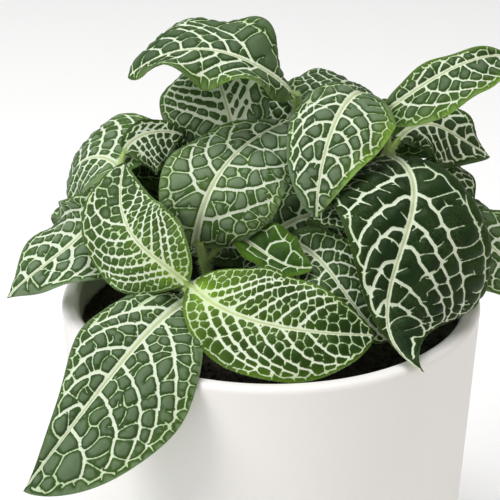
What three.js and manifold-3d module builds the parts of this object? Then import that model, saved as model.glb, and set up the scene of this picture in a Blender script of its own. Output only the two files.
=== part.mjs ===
// Potted nerve plant: a white glazed pot filled with soil, and a bushy plant whose
// leafy stems stand in holes in the soil.
// Millimetres, +Z up. The origin is the middle of the pot's foot, on the surface that
// it stands on. The front, where the lowest leaf hangs over the rim, faces -Y.

import * as THREE from 'three';
import { mergeVertices } from 'three/addons/utils/BufferGeometryUtils.js';
import Module from 'manifold-3d';

const wasm = await Module();
wasm.setup();

// Driving dimensions of the pot
const POT_HEIGHT = 108;
const RIM_RADIUS = 60;
const FOOT_RADIUS = 54.6;
const POT_WALL = 5;
const POT_FLOOR = 7;
const LIP_ROUND = 2;
const FOOT_ROUND = 2.5;
const POT_SIDES = 48;

// Driving dimensions of the soil
const SOIL_TOP = 100;
const SOIL_GAP = 0.5;
const SOIL_BUMP = 1.2;
const SOIL_RINGS = 7;
const SOIL_SIDES = 36;
const HOLE_DEPTH = 10;
const HOLE_GAP = 0.6;
const HOLE_SIDES = 12;

// Driving dimensions of the plant
const STEM_RADIUS = 1.5;
const STEM_TIP_RADIUS = 1.2;
const PETIOLE_RADIUS = 1.0;
const BLADE_THICKNESS = 0.8;
const ROUND_SIDES = 6;
const STEM_STEPS = 7;
const PETIOLE_STEPS = 3;
const PETIOLE_THINNING = 0.6;
const KEEL_SHARE = 0.14; // share of the midrib that the petiole runs on under
const KEEL_SINK = 0.5; // the keel's axis below the middle of the blade
const UPRIGHT = 2; // height above the soil to which a stem stays upright
const TIP_BLEND = [0.55, 0.95]; // shares of the midrib between which the tip's droop sets in
const ROW_CROWDING = 1.25; // above 1, the rows of a blade lie closer at its base

const glaze = { color: 0xe9e6e2, roughness: 0.35, metalness: 0 };
const peat = { color: 0x1d1a15, roughness: 1, metalness: 0 };
const foliage = { color: 0x2f4a27, roughness: 0.6, metalness: 0 };

const up = new THREE.Vector3(0, 0, 1);

// Places on the object are read as [x, y, z].
function point(place) {
  return new THREE.Vector3(...place);
}

// One leaf blade. rib holds four places that the midrib passes: its base, one third, two
// thirds and its tip. face is where the blade looks at its base, and tipFace at its tip.
// Pairs are for the halves on the left and on the right of the midrib, seen from above
// with the tip ahead: share of the half width, droop in degrees from midrib to margin,
// tipDroop the same near the tip, and the roundness of the base and of the tip.
class Blade {
  constructor(values) {
    Object.assign(this, {
      width: 30, share: [1, 1], face: [0, 0, 1], droop: [30, 30], fold: 10,
      baseRound: [0.5, 0.5], tipRound: [0.85, 0.85],
      wave: 1, waves: 2.5, phase: [0.37, 0], heart: 0.05, rows: 8, columns: 3,
    }, values);
    this.tipFace ??= this.face;
    this.tipDroop ??= this.droop;
    this.places = this.rib.map(point);
  }

  // The midrib is the cubic through the four places.
  ribAt(u) {
    const weights = [
      -4.5 * (u - 1 / 3) * (u - 2 / 3) * (u - 1),
      13.5 * u * (u - 2 / 3) * (u - 1),
      -13.5 * u * (u - 1 / 3) * (u - 1),
      4.5 * u * (u - 1 / 3) * (u - 2 / 3),
    ];
    const place = new THREE.Vector3();
    weights.forEach((weight, i) => place.addScaledVector(this.places[i], weight));
    return place;
  }

  // Directions along the midrib, out of the upper face and across to the right
  directionsAt(u) {
    const step = 0.001;
    const along = this.ribAt(u + step).sub(this.ribAt(u - step)).normalize();
    const looks = point(this.face).normalize().multiplyScalar(1 - u)
      .addScaledVector(point(this.tipFace).normalize(), u).normalize();
    const out = looks.addScaledVector(along, -looks.dot(along)).normalize();
    return { along, out, across: along.clone().cross(out) };
  }

  // Half width at u, as a share of the widest place
  outline(u, side) {
    const a = this.baseRound[side];
    const b = this.tipRound[side];
    const widest = a / (a + b);
    return (u ** a * (1 - u) ** b) / (widest ** a * (1 - widest) ** b);
  }

  // The middle of the blade's thickness at u along the midrib and s across it, from -1 at
  // the left margin to 1 at the right one, and the direction out of the upper face there
  surface(u, s) {
    const side = s < 0 ? 0 : 1;
    const sign = Math.sign(s);
    const reach = Math.abs(s);
    const { along, out, across } = this.directionsAt(u);
    const tipShare = THREE.MathUtils.smoothstep(u, ...TIP_BLEND);
    const droop = THREE.MathUtils.lerp(this.droop[side], this.tipDroop[side], tipShare);
    const bend = THREE.MathUtils.degToRad(droop) / (this.width / 2);
    const start = THREE.MathUtils.degToRad(this.fold);
    const length = reach * this.width / 2 * this.share[side] * this.outline(u, side);
    const slope = start - bend * length;
    const lateral = (Math.sin(start) - Math.sin(slope)) / bend;
    const height = (Math.cos(slope) - Math.cos(start)) / bend;
    const ripple = this.wave * reach ** 2 * Math.sqrt(Math.sin(Math.PI * u))
      * Math.sin(2 * Math.PI * (this.waves * u + this.phase[side]));
    const back = this.heart * this.width * reach ** 1.5 * (1 - u) ** 4;
    const place = this.ribAt(u)
      .addScaledVector(across, sign * lateral)
      .addScaledVector(out, height + ripple)
      .addScaledVector(along, -back);
    const normal = out.multiplyScalar(Math.cos(slope))
      .addScaledVector(across, -sign * Math.sin(slope));
    return { place, normal };
  }

  // A closed blade: both faces are split alike, and a narrow wall joins them.
  geometry() {
    const places = [];
    const half = BLADE_THICKNESS / 2;
    const addPair = (u, s) => {
      const { place, normal } = this.surface(u, s);
      places.push(place.clone().addScaledVector(normal, half));
      places.push(place.clone().addScaledVector(normal, -half));
      return places.length / 2 - 1;
    };
    const rowsOfPairs = [];
    for (let row = 1; row < this.rows; row++) {
      const u = (row / this.rows) ** ROW_CROWDING;
      const pairs = [];
      for (let column = -this.columns; column <= this.columns; column++) {
        pairs.push(addPair(u, column / this.columns));
      }
      rowsOfPairs.push(pairs);
    }
    const base = addPair(0, 0);
    const tip = addPair(1, 0);
    const faces = [];
    const addFace = (a, b, c) => {
      faces.push(2 * a, 2 * c, 2 * b, 2 * a + 1, 2 * b + 1, 2 * c + 1);
    };
    const first = rowsOfPairs[0];
    const last = rowsOfPairs[rowsOfPairs.length - 1];
    for (let column = 0; column < 2 * this.columns; column++) {
      for (let row = 0; row < rowsOfPairs.length - 1; row++) {
        const near = rowsOfPairs[row];
        const far = rowsOfPairs[row + 1];
        addFace(near[column], near[column + 1], far[column + 1]);
        addFace(near[column], far[column + 1], far[column]);
      }
      addFace(base, first[column + 1], first[column]);
      addFace(tip, last[column], last[column + 1]);
    }
    const left = rowsOfPairs.map((pairs) => pairs[0]);
    const right = rowsOfPairs.map((pairs) => pairs[pairs.length - 1]).reverse();
    const margin = [base, ...left, tip, ...right];
    margin.forEach((pair, i) => {
      const next = margin[(i + 1) % margin.length];
      faces.push(2 * pair, 2 * next + 1, 2 * next, 2 * pair, 2 * pair + 1, 2 * next + 1);
    });
    return closedGeometry(places, faces);
  }
}

// Triangles with shared corners, turned so that they face outwards
function closedGeometry(places, faces) {
  const geometry = new THREE.BufferGeometry();
  geometry.setFromPoints(places);
  let volume = 0;
  for (let i = 0; i < faces.length; i += 3) {
    const [a, b, c] = [places[faces[i]], places[faces[i + 1]], places[faces[i + 2]]];
    volume += a.dot(b.clone().cross(c));
  }
  geometry.setIndex(volume > 0 ? faces : faces.toReversed());
  return geometry;
}

// A round rod through a few places, thinner towards its end, with closed ends
function rod(places, radiusFrom, radiusTo, steps) {
  const curve = new THREE.CatmullRomCurve3(places.map(point));
  const rings = [];
  const points = [];
  for (let step = 0; step <= steps; step++) {
    const share = step / steps;
    const centre = curve.getPoint(share);
    const along = curve.getTangent(share);
    const side = along.clone().cross(Math.abs(along.z) > 0.9 ? new THREE.Vector3(0, 1, 0) : up);
    side.normalize();
    const other = along.clone().cross(side);
    const radius = THREE.MathUtils.lerp(radiusFrom, radiusTo, share);
    const ring = [];
    for (let corner = 0; corner < ROUND_SIDES; corner++) {
      const angle = 2 * Math.PI * corner / ROUND_SIDES;
      ring.push(points.length);
      points.push(centre.clone()
        .addScaledVector(side, radius * Math.cos(angle))
        .addScaledVector(other, radius * Math.sin(angle)));
    }
    rings.push(ring);
  }
  const faces = [];
  for (let step = 0; step < steps; step++) {
    for (let corner = 0; corner < ROUND_SIDES; corner++) {
      const next = (corner + 1) % ROUND_SIDES;
      const [a, b] = [rings[step][corner], rings[step][next]];
      const [c, d] = [rings[step + 1][next], rings[step + 1][corner]];
      faces.push(a, b, c, a, c, d);
    }
  }
  for (let corner = 1; corner < ROUND_SIDES - 1; corner++) {
    faces.push(rings[0][0], rings[0][corner + 1], rings[0][corner]);
    faces.push(rings[steps][0], rings[steps][corner], rings[steps][corner + 1]);
  }
  return closedGeometry(points, faces);
}

function toSolid(geometry) {
  const bare = geometry.clone();
  bare.deleteAttribute('normal');
  bare.deleteAttribute('uv');
  const merged = mergeVertices(bare, 1e-4);
  return new wasm.Manifold(new wasm.Mesh({
    numProp: 3,
    vertProperties: new Float32Array(merged.attributes.position.array),
    triVerts: new Uint32Array(merged.index.array),
  }));
}

function toGeometry(solid) {
  const mesh = solid.getMesh();
  const geometry = new THREE.BufferGeometry();
  geometry.setAttribute('position', new THREE.BufferAttribute(mesh.vertProperties, 3));
  geometry.setIndex(new THREE.BufferAttribute(mesh.triVerts, 1));
  geometry.computeVertexNormals();
  return geometry;
}

function part(name, geometry, finish) {
  const mesh = new THREE.Mesh(geometry, new THREE.MeshStandardMaterial(finish));
  mesh.name = name;
  return mesh;
}

// Lathe about +Z of a profile given as [radius, height]
function turned(profile, sides) {
  const points = profile.map(([radius, height]) => new THREE.Vector2(radius, height));
  return new THREE.LatheGeometry(points, sides).rotateX(Math.PI / 2);
}

// A quarter of a circle as profile points, from one angle to another in degrees
function arc(radius, height, round, from, to, steps) {
  const points = [];
  for (let i = 0; i <= steps; i++) {
    const angle = THREE.MathUtils.degToRad(from + (to - from) * i / steps);
    points.push([radius + round * Math.cos(angle), height + round * Math.sin(angle)]);
  }
  return points;
}

// The pot's inside, a cup that narrows like its outside
const taper = (RIM_RADIUS - FOOT_RADIUS) / POT_HEIGHT;
function insideRadius(height) {
  return RIM_RADIUS - POT_WALL - taper * (POT_HEIGHT - height);
}

// The pot is a plain cup with a rounded lip, and stands on its flat foot.
function makePot() {
  const lipHeight = POT_HEIGHT - LIP_ROUND;
  const profile = [
    [0, 0],
    ...arc(FOOT_RADIUS - FOOT_ROUND, FOOT_ROUND, FOOT_ROUND, -90, 0, 3),
    ...arc(RIM_RADIUS - LIP_ROUND, lipHeight, LIP_ROUND, 0, 90, 3),
    ...arc(RIM_RADIUS - POT_WALL + LIP_ROUND, lipHeight, LIP_ROUND, 90, 180, 3),
    [insideRadius(POT_FLOOR + FOOT_ROUND), POT_FLOOR + FOOT_ROUND],
    [insideRadius(POT_FLOOR) - FOOT_ROUND, POT_FLOOR],
    [0, POT_FLOOR],
  ];
  return part('pot', toGeometry(toSolid(turned(profile, POT_SIDES))), glaze);
}

// Crumbly ground: low swells of a few sizes
function soilHeight(x, y) {
  const swell = Math.sin(0.21 * x + 1.3) * Math.cos(0.17 * y - 0.4)
    + 0.6 * Math.sin(0.43 * x - 0.31 * y + 2.1) + 0.4 * Math.cos(0.71 * y + 0.55 * x);
  return SOIL_TOP + SOIL_BUMP * swell / 2;
}

// The soil fills the pot to a little below the rim, with one plain hole for each stem.
function makeSoil(feet) {
  const bottom = POT_FLOOR + SOIL_GAP;
  const lowRadius = insideRadius(bottom) - FOOT_ROUND - SOIL_GAP;
  const wallHeight = bottom + FOOT_ROUND;
  const topRadius = insideRadius(SOIL_TOP) - SOIL_GAP;
  const places = [new THREE.Vector3(0, 0, bottom), new THREE.Vector3(0, 0, soilHeight(0, 0))];
  const faces = [];
  const ringStart = [];
  const addRing = (radius, heightOf) => {
    ringStart.push(places.length);
    for (let i = 0; i < SOIL_SIDES; i++) {
      const angle = 2 * Math.PI * i / SOIL_SIDES;
      const x = radius * Math.cos(angle);
      const y = radius * Math.sin(angle);
      places.push(new THREE.Vector3(x, y, heightOf(x, y)));
    }
  };
  addRing(lowRadius, () => bottom);
  addRing(insideRadius(wallHeight) - SOIL_GAP, () => wallHeight);
  for (let ring = SOIL_RINGS; ring > 0; ring--) {
    addRing(topRadius * ring / SOIL_RINGS, soilHeight);
  }
  for (let i = 0; i < SOIL_SIDES; i++) {
    const next = (i + 1) % SOIL_SIDES;
    for (let ring = 0; ring < ringStart.length - 1; ring++) {
      const [low, high] = [ringStart[ring], ringStart[ring + 1]];
      faces.push(low + i, low + next, high + next, low + i, high + next, high + i);
    }
    const inner = ringStart[ringStart.length - 1];
    faces.push(0, ringStart[0] + next, ringStart[0] + i, 1, inner + i, inner + next);
  }
  let solid = toSolid(closedGeometry(places, faces));
  const holeRadius = STEM_RADIUS + HOLE_GAP;
  for (const [x, y] of feet) {
    const hole = new THREE.CylinderGeometry(holeRadius, holeRadius, 2 * HOLE_DEPTH, HOLE_SIDES)
      .rotateX(Math.PI / 2).translate(x, y, SOIL_TOP);
    solid = solid.subtract(toSolid(hole));
  }
  return part('soil', toGeometry(solid), peat);
}

// A leafy stem is one body: the stem, a petiole for each leaf, which runs on under the
// blade as its keel, and the blades. fork is where on the stem, from 0 at the foot to 1
// at the top, the leaf's petiole leaves it.
function makeLeafyStem({ name, foot, path, leaves }) {
  const start = [...foot, SOIL_TOP - HOLE_DEPTH + HOLE_GAP];
  const ground = [...foot, SOIL_TOP + UPRIGHT];
  const route = [start, ground, ...path];
  let solid = toSolid(rod(route, STEM_RADIUS, STEM_TIP_RADIUS, STEM_STEPS));
  const stem = new THREE.CatmullRomCurve3(route.map(point));
  for (const leaf of leaves) {
    const blade = new Blade(leaf);
    const under = (u) => {
      const { out } = blade.directionsAt(u);
      return blade.ribAt(u).addScaledVector(out, -KEEL_SINK).toArray();
    };
    const petiole = [stem.getPoint(leaf.fork).toArray(), under(0), under(KEEL_SHARE)];
    const thin = PETIOLE_THINNING * PETIOLE_RADIUS;
    solid = solid.add(toSolid(rod(petiole, PETIOLE_RADIUS, thin, PETIOLE_STEPS)));
    solid = solid.add(toSolid(blade.geometry()));
  }
  return part(name, toGeometry(solid), foliage);
}

// The leafy stems, from the front of the pot to its back
const leafyStems = [
  {
    name: 'leafy_stem_front', foot: [-19, -20],
    path: [[-21, -26, 112], [-22.5, -31, 124]],
    leaves: [
      { // large dark leaf that hangs over the rim at the front left
        fork: 0.7, rib: [[-23, -28, 118], [-34, -44, 115], [-47, -56.5, 103], [-65, -65, 81]],
        width: 44, share: [1.05, 0.75], face: [-0.3, -0.75, 0.6], droop: [28, 40],
        baseRound: [1, 0.9], tipRound: [0.72, 1.5], rows: 12, columns: 4,
      },
      { // light leaf that stands up at the left
        fork: 1, rib: [[-24, -31, 126], [-33, -27, 132], [-40, -18, 138], [-41, -1, 148]],
        width: 32, share: [0.93, 0.78], face: [-0.5, -0.8, 0.3], tipFace: [0, -0.95, 0.3],
        droop: [30, 30], baseRound: [0.8, 0.6], tipRound: [0.8, 0.8], rows: 12,
      },
      { // light leaf along the front rim
        fork: 1, rib: [[-21, -32, 124], [-8, -42, 120], [9, -45, 117.4], [27, -40, 113.6]],
        width: 34, share: [1, 0.9], face: [-0.2, -0.6, 0.8], tipFace: [0.3, -0.7, 0.65],
        droop: [35, 30], baseRound: [0.5, 0.75], tipRound: [0.7, 0.8], rows: 12,
      },
    ],
  },
  {
    name: 'leafy_stem_middle', foot: [-17, -8],
    path: [[-18, -11, 118], [-20, -14, 130]],
    leaves: [
      { // wide leaf in the middle
        fork: 1, rib: [[-21, -14, 130], [-16, -13, 146], [-7, -1, 153], [7, 13, 156]],
        width: 38, share: [0.8, 1], face: [0.1, -0.6, 0.8], tipFace: [0.1, -0.1, 0.95],
        droop: [35, 45], baseRound: [0.55, 0.45], tipRound: [1, 0.7], rows: 12, columns: 4,
      },
      { // young leaf, still half folded
        fork: 0.8, rib: [[-10.5, -13, 131], [-3.7, -19, 129.4], [3, -24, 127.2], [11, -27, 127.6]],
        width: 20, share: [0.9, 0.62], face: [0.1, -0.6, 0.8], droop: [-10, -10], fold: 20,
        baseRound: [0.7, 0.7], tipRound: [0.7, 0.7],
      },
    ],
  },
  {
    name: 'leafy_stem_left', foot: [-38, -2],
    path: [[-42, 0, 125], [-44, 2, 140]],
    leaves: [
      { // domed leaf that bends down at the left
        fork: 1, rib: [[-43, 6, 143], [-48, 13, 144], [-55, 19, 140], [-59, 25, 129]],
        width: 42, face: [-0.2, -0.5, 0.85], tipFace: [-0.7, -0.2, 0.6], droop: [45, 45], fold: 8,
      },
      { // leaf that leans to the right behind the front ones
        fork: 1, rib: [[-41, 8, 149], [-36, 9, 152.5], [-30, 9, 153.5], [-25, 9, 152.5]],
        width: 24, share: [0.35, 1], face: [0, -0.8, 0.6], droop: [30, 30],
      },
      { // pointed leaf over the rim at the left
        fork: 1, rib: [[-49, -2, 139], [-52, -7, 130], [-62, -11, 122], [-74, -13, 112]],
        width: 34, share: [1, 0.9], face: [-0.3, -0.7, 0.6], tipFace: [-0.4, -0.4, 0.8],
        droop: [40, 45], fold: 5, tipRound: [1.2, 0.85], wave: 3, waves: 1.7, phase: [0.24, 0],
      },
    ],
  },
  {
    name: 'leafy_stem_top', foot: [2, 14],
    path: [[4, 19, 125], [8, 19, 152], [7, 13, 163]],
    leaves: [
      { // top leaf, strongly waved
        fork: 1, rib: [[6, 9, 165], [-6, 5, 175], [-22, 7, 178], [-40, 10, 169]],
        width: 42, share: [0.5, 0.92], face: [0, -0.5, 0.85], tipFace: [0, -0.25, 0.95],
        droop: [45, 15], tipDroop: [45, 70], fold: 5, wave: 4.5, waves: 2.05,
        phase: [-0.4, -0.41], baseRound: [0.8, 1.0], tipRound: [0.7, 0.55],
        rows: 12, columns: 4,
      },
      { // upright leaf below the top one
        fork: 0.6, rib: [[-10, 11, 148], [-12, 15, 157], [-15, 21, 165], [-18, 30, 169]],
        width: 32, share: [1.2, 0.82], face: [-0.1, -0.9, 0.4], droop: [20, 20],
        baseRound: [0.6, 0.6], tipRound: [0.5, 0.55],
      },
      { // low leaf over the soil
        fork: 0.25, rib: [[-6, 4, 115], [-13, 10, 119], [-21, 15, 117], [-28, 18, 110]],
        width: 26, face: [0, 0.1, 0.95], droop: [35, 35],
      },
      { // shaded leaf in the middle
        fork: 0.3, rib: [[3, 13, 122], [12, 11, 127], [22, 12, 126], [31, 13, 119]],
        width: 26, face: [0.1, -0.8, 0.6], droop: [35, 35],
      },
    ],
  },
  {
    name: 'leafy_stem_right_middle', foot: [12, 0],
    path: [[15, 6, 135], [20, 14, 155], [24, 12, 162]],
    leaves: [
      { // leaf that bends over to the front
        fork: 1, rib: [[25, 11, 164], [19, -1, 163], [14, -13, 154], [12, -20, 139]],
        width: 36, share: [0.87, 0.72], face: [-0.1, -0.6, 0.8], tipFace: [-0.1, -0.95, 0.3],
        droop: [30, 60], fold: 8, tipRound: [1, 0.75], rows: 12, columns: 4,
      },
      { // domed leaf behind it
        fork: 0.7, rib: [[16, 20, 152], [19, 26, 159], [22, 34, 160], [25, 44, 154]],
        width: 30, face: [0.1, -0.4, 0.9], droop: [40, 40],
      },
      { // dark leaf under the front ones
        fork: 0.35, rib: [[5, -15, 130], [14, -24, 127], [21, -32, 120], [31, -36, 110]],
        width: 30, share: [0.7, 0.8], face: [0.1, -0.75, 0.65], droop: [35, 35],
        tipRound: [0.75, 0.75],
      },
      { // small leaf in the shade
        fork: 0.4, rib: [[15, 1, 128], [18, -6, 137], [21, -14, 138], [24, -22, 134]],
        width: 22, face: [0, -0.5, 0.85], droop: [30, 30],
      },
      { // low leaf over the soil
        fork: 0.3, rib: [[8, -4, 116], [4, -10, 120], [-1, -16, 119], [-5, -21, 112]],
        width: 26, face: [0, -0.2, 0.95], droop: [35, 35],
      },
    ],
  },
  {
    name: 'leafy_stem_right', foot: [34, 2],
    path: [[36, 6, 128], [33, 8, 147]],
    leaves: [
      { // light leaf that reaches up to the right
        fork: 1, rib: [[33, 9, 160], [44, 7, 169], [57, 11, 174], [70, 17, 172]],
        width: 24, share: [0.45, 1], face: [-0.1, -0.65, 0.75], droop: [40, 10], fold: 10,
        baseRound: [0.45, 0.45], tipRound: [0.9, 0.7],
      },
      { // waved leaf below it
        fork: 1, rib: [[37, 12, 151], [45, 16, 153], [53, 18, 149], [64, 22, 141]],
        width: 27, share: [0.85, 1], face: [-0.1, -0.6, 0.8], droop: [30, 30], wave: 2,
      },
      { // largest leaf, over the front right
        fork: 1, rib: [[34, 3, 148], [37, -23.5, 140.5], [30.5, -36.5, 122], [39.5, -51, 108.5]],
        width: 52, share: [1.28, 0.95], face: [0.15, -0.6, 0.8], tipFace: [0.25, -0.8, 0.5],
        droop: [53, 51], tipDroop: [78, 75], fold: 6, baseRound: [1.2, 0.72],
        tipRound: [1.35, 2.6], rows: 12, columns: 4,
      },
      { // small leaf behind its shoulder
        fork: 0.75, rib: [[44, 12, 137], [49, 11, 139], [54, 10, 136], [58, 9, 130]],
        width: 20, face: [0.3, -0.5, 0.8], droop: [40, 40],
      },
      { // leaf over the rim at the right
        fork: 0.5, rib: [[54, 0, 124], [61, -3, 124], [67, -6, 118], [71, -9, 108]],
        width: 30, face: [0.4, -0.6, 0.7], droop: [35, 40],
      },
      { // low leaf over the rim behind it
        fork: 0.4, rib: [[46, 10, 120], [58, 14, 122], [69, 17, 115], [76, 19, 104]],
        width: 28, face: [0.4, 0.2, 0.9], tipFace: [0.9, 0.3, 0.3], droop: [40, 40],
      },
    ],
  },
  {
    name: 'leafy_stem_back', foot: [-1, 30],
    path: [[-2, 32, 120], [-2, 34, 146]],
    leaves: [
      { // small leaf between the top leaves
        fork: 0.6, rib: [[0, 24, 140], [4, 26, 149], [8, 30, 155], [10, 37, 158]],
        width: 26, face: [0.1, -0.7, 0.7], droop: [30, 30],
      },
      { // wide leaf over the rim at the back, on the left
        fork: 0.4, rib: [[-16, 30, 122], [-21, 44, 127], [-27, 58, 122], [-32, 68, 108]],
        width: 38, face: [-0.2, 0.5, 0.85], tipFace: [-0.4, 0.9, 0.2], droop: [40, 40],
      },
      { // wide leaf over the rim at the back, on the right
        fork: 0.4, rib: [[14, 32, 122], [18, 47, 127], [22, 61, 121], [24, 70, 106]],
        width: 38, face: [0.2, 0.5, 0.85], tipFace: [0.3, 0.95, 0.2], droop: [45, 45],
      },
      { // leaf above those two
        fork: 0.7, rib: [[-8, 32, 134], [-10, 42, 140], [-12, 53, 136], [-13, 62, 125]],
        width: 34, face: [-0.1, 0.3, 0.95], tipFace: [-0.1, 0.9, 0.4], droop: [40, 40],
      },
      { // top leaf at the back
        fork: 1, rib: [[1, 35, 151], [0, 44, 155], [-2, 53, 153], [-4, 61, 145]],
        width: 28, face: [0, 0.2, 0.95], tipFace: [0, 0.7, 0.7], droop: [35, 35],
      },
      { // lowest leaf, straight over the rim
        fork: 0.45, rib: [[-2, 40, 120], [-3, 52, 122], [-4, 64, 116], [-4, 73, 103]],
        width: 30, face: [0, 0.4, 0.9], tipFace: [0, 0.95, 0.3], droop: [40, 40],
      },
      { // small top leaf beside it
        fork: 1, rib: [[-14, 36, 146], [-18, 45, 150], [-21, 54, 147], [-23, 61, 139]],
        width: 24, face: [0, 0.2, 0.95], tipFace: [0, 0.7, 0.7], droop: [35, 35],
      },
    ],
  },
  {
    name: 'leafy_stem_back_right', foot: [30, 24],
    path: [[31, 26, 120], [28, 26, 144]],
    leaves: [
      { // lowest leaf, over the rim
        fork: 0.5, rib: [[38, 22, 122], [49, 30, 126], [60, 37, 120], [68, 42, 107]],
        width: 34, face: [0.4, 0.4, 0.85], tipFace: [0.8, 0.6, 0.2], droop: [40, 40],
      },
      { // leaf above it
        fork: 0.8, rib: [[28, 30, 138], [36, 38, 143], [44, 47, 140], [50, 54, 130]],
        width: 34, face: [0.3, 0.3, 0.9], tipFace: [0.6, 0.7, 0.4], droop: [40, 40],
      },
      { // top leaf
        fork: 1, rib: [[28, 24, 148], [36, 32, 152], [44, 40, 150], [51, 47, 142]],
        width: 28, face: [0.2, 0.2, 0.95], tipFace: [0.5, 0.5, 0.7], droop: [35, 35],
      },
    ],
  },
  {
    name: 'leafy_stem_back_left', foot: [-28, 20],
    path: [[-29, 22, 120], [-27, 24, 141]],
    leaves: [
      { // lowest wide leaf, over the rim
        fork: 0.5, rib: [[-36, 16, 124], [-47, 24, 129], [-57, 32, 124], [-64, 39, 110]],
        width: 32, face: [-0.4, 0.3, 0.85], tipFace: [-0.8, 0.5, 0.3], droop: [40, 40],
      },
      { // leaf above it
        fork: 0.6, rib: [[-28, 28, 130], [-37, 37, 134], [-46, 46, 130], [-52, 54, 119]],
        width: 32, face: [-0.3, 0.3, 0.9], tipFace: [-0.6, 0.7, 0.4], droop: [40, 40],
      },
      { // top leaf
        fork: 1, rib: [[-29, 26, 141], [-37, 35, 144], [-45, 43, 141], [-51, 49, 133]],
        width: 26, face: [-0.2, 0.2, 0.95], tipFace: [-0.5, 0.5, 0.7], droop: [35, 35],
      },
      { // small leaf that looks forward between the others
        fork: 1, rib: [[-20, 22, 143], [-21, 25, 149], [-22, 30, 153], [-23, 37, 154]],
        width: 22, face: [-0.1, -0.8, 0.6], droop: [25, 25],
      },
      { // narrow leaf over the rim at the left
        fork: 0.4, rib: [[-40, 9, 120], [-50, 13, 123], [-59, 17, 117], [-65, 20, 106]],
        width: 26, face: [-0.3, 0.2, 0.9], tipFace: [-0.8, 0.3, 0.4], droop: [40, 40],
      },
    ],
  },
];

const pottedNervePlant = new THREE.Group();
pottedNervePlant.add(makePot());
pottedNervePlant.add(makeSoil(leafyStems.map((stem) => stem.foot)));
leafyStems.forEach((stem) => pottedNervePlant.add(makeLeafyStem(stem)));

export default pottedNervePlant;
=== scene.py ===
# Potted nerve plant: a round white glazed pot, dark potting soil, and a bushy plant whose
# leaves carry a net of white veins. Metres, +Z up, front towards -Y, in the frame of the
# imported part.

import math

import bpy
import numpy as np
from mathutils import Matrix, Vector
from mathutils.geometry import delaunay_2d_cdt


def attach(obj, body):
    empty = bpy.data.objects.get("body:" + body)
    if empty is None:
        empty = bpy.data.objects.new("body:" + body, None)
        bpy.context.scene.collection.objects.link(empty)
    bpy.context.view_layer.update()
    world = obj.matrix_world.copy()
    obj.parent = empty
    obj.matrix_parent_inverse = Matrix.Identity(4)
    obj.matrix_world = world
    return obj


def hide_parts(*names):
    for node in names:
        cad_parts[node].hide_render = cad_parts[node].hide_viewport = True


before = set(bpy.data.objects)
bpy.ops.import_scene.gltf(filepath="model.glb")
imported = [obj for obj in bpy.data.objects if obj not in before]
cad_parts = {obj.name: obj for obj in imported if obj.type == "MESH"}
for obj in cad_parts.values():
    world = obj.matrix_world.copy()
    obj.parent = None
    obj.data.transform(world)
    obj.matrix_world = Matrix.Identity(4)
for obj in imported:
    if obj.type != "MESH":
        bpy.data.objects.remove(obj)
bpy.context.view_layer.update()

# Pot. A cup of white earthenware under a satin glaze, a little wider at its rim, with a
# rounded lip and a flat foot. It is turned, so its wall carries very faint rings.

MM = 0.001
POT_HEIGHT = 108
RIM_RADIUS = 60
FOOT_RADIUS = 54.6
POT_WALL = 5
POT_FLOOR = 7
LIP_ROUND = 2
FOOT_ROUND = 2.5
POT_SIDES = 144
GLAZE_COLOR = (0.83, 0.815, 0.795, 1)


def inside_radius(height):
    """Radius of the pot's inner face at a height."""
    return RIM_RADIUS - POT_WALL - (RIM_RADIUS - FOOT_RADIUS) * (1 - height / POT_HEIGHT)


def arc(radius, height, rounding, start, end, steps=8):
    """Profile points on part of a circle, from one angle to another in degrees."""
    points = []
    for angle in np.radians(np.linspace(start, end, steps + 1)):
        points.append((radius + rounding * math.cos(angle), height + rounding * math.sin(angle)))
    return points


def ring_faces(rings, sides):
    """Faces of a closed round body: its two poles come first, then its rings of places."""
    faces = []
    for step in range(sides):
        after = (step + 1) % sides
        faces.append((0, 2 + after, 2 + step))
        for ring in range(rings - 1):
            low = 2 + ring * sides
            high = low + sides
            faces.append((low + step, low + after, high + after, high + step))
        top = 2 + (rings - 1) * sides
        faces.append((1, top + step, top + after))
    return faces


def turned_mesh(name, profile, sides):
    """A closed body of revolution from (radius, height) points that start and end on the axis."""
    places = [(0, 0, profile[0][1] * MM), (0, 0, profile[-1][1] * MM)]
    for radius, height in profile[1:-1]:
        for step in range(sides):
            angle = 2 * math.pi * step / sides
            places.append((radius * MM * math.cos(angle), radius * MM * math.sin(angle), height * MM))
    mesh = bpy.data.meshes.new(name)
    mesh.from_pydata(places, [], ring_faces(len(profile) - 2, sides))
    return mesh


def add_piece(name, mesh, slot, *nodes):
    """Shows the mesh as a piece of the object in place of the CAD nodes."""
    piece = bpy.data.objects.new(name, mesh)
    bpy.context.scene.collection.objects.link(piece)
    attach(piece, "root")
    if nodes:
        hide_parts(*nodes)
    return piece


def add_node(tree, kind, values=None, **settings):
    """A node with its settings, and values for its inputs by name or number."""
    made = tree.nodes.new(kind)
    for key, value in settings.items():
        setattr(made, key, value)
    for key, value in (values or {}).items():
        if isinstance(value, bpy.types.NodeSocket):
            tree.links.new(value, made.inputs[key])
        else:
            made.inputs[key].default_value = value
    return made


def new_material(name):
    """A material with its Principled shader and output, and its node tree."""
    material = bpy.data.materials.new(name)
    material.use_nodes = True
    tree = material.node_tree
    tree.nodes.clear()
    shader = tree.nodes.new("ShaderNodeBsdfPrincipled")
    output = tree.nodes.new("ShaderNodeOutputMaterial")
    tree.links.new(shader.outputs[0], output.inputs[0])
    return material, tree, shader


def mix_colors(tree, share, first, second):
    """The colour between two, each a colour or a socket."""
    mixer = tree.nodes.new("ShaderNodeMix")
    mixer.data_type = "RGBA"
    for socket, value in ((mixer.inputs[0], share), (mixer.inputs[6], first), (mixer.inputs[7], second)):
        if isinstance(value, bpy.types.NodeSocket):
            tree.links.new(value, socket)
        else:
            socket.default_value = value
    return mixer.outputs[2]


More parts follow.
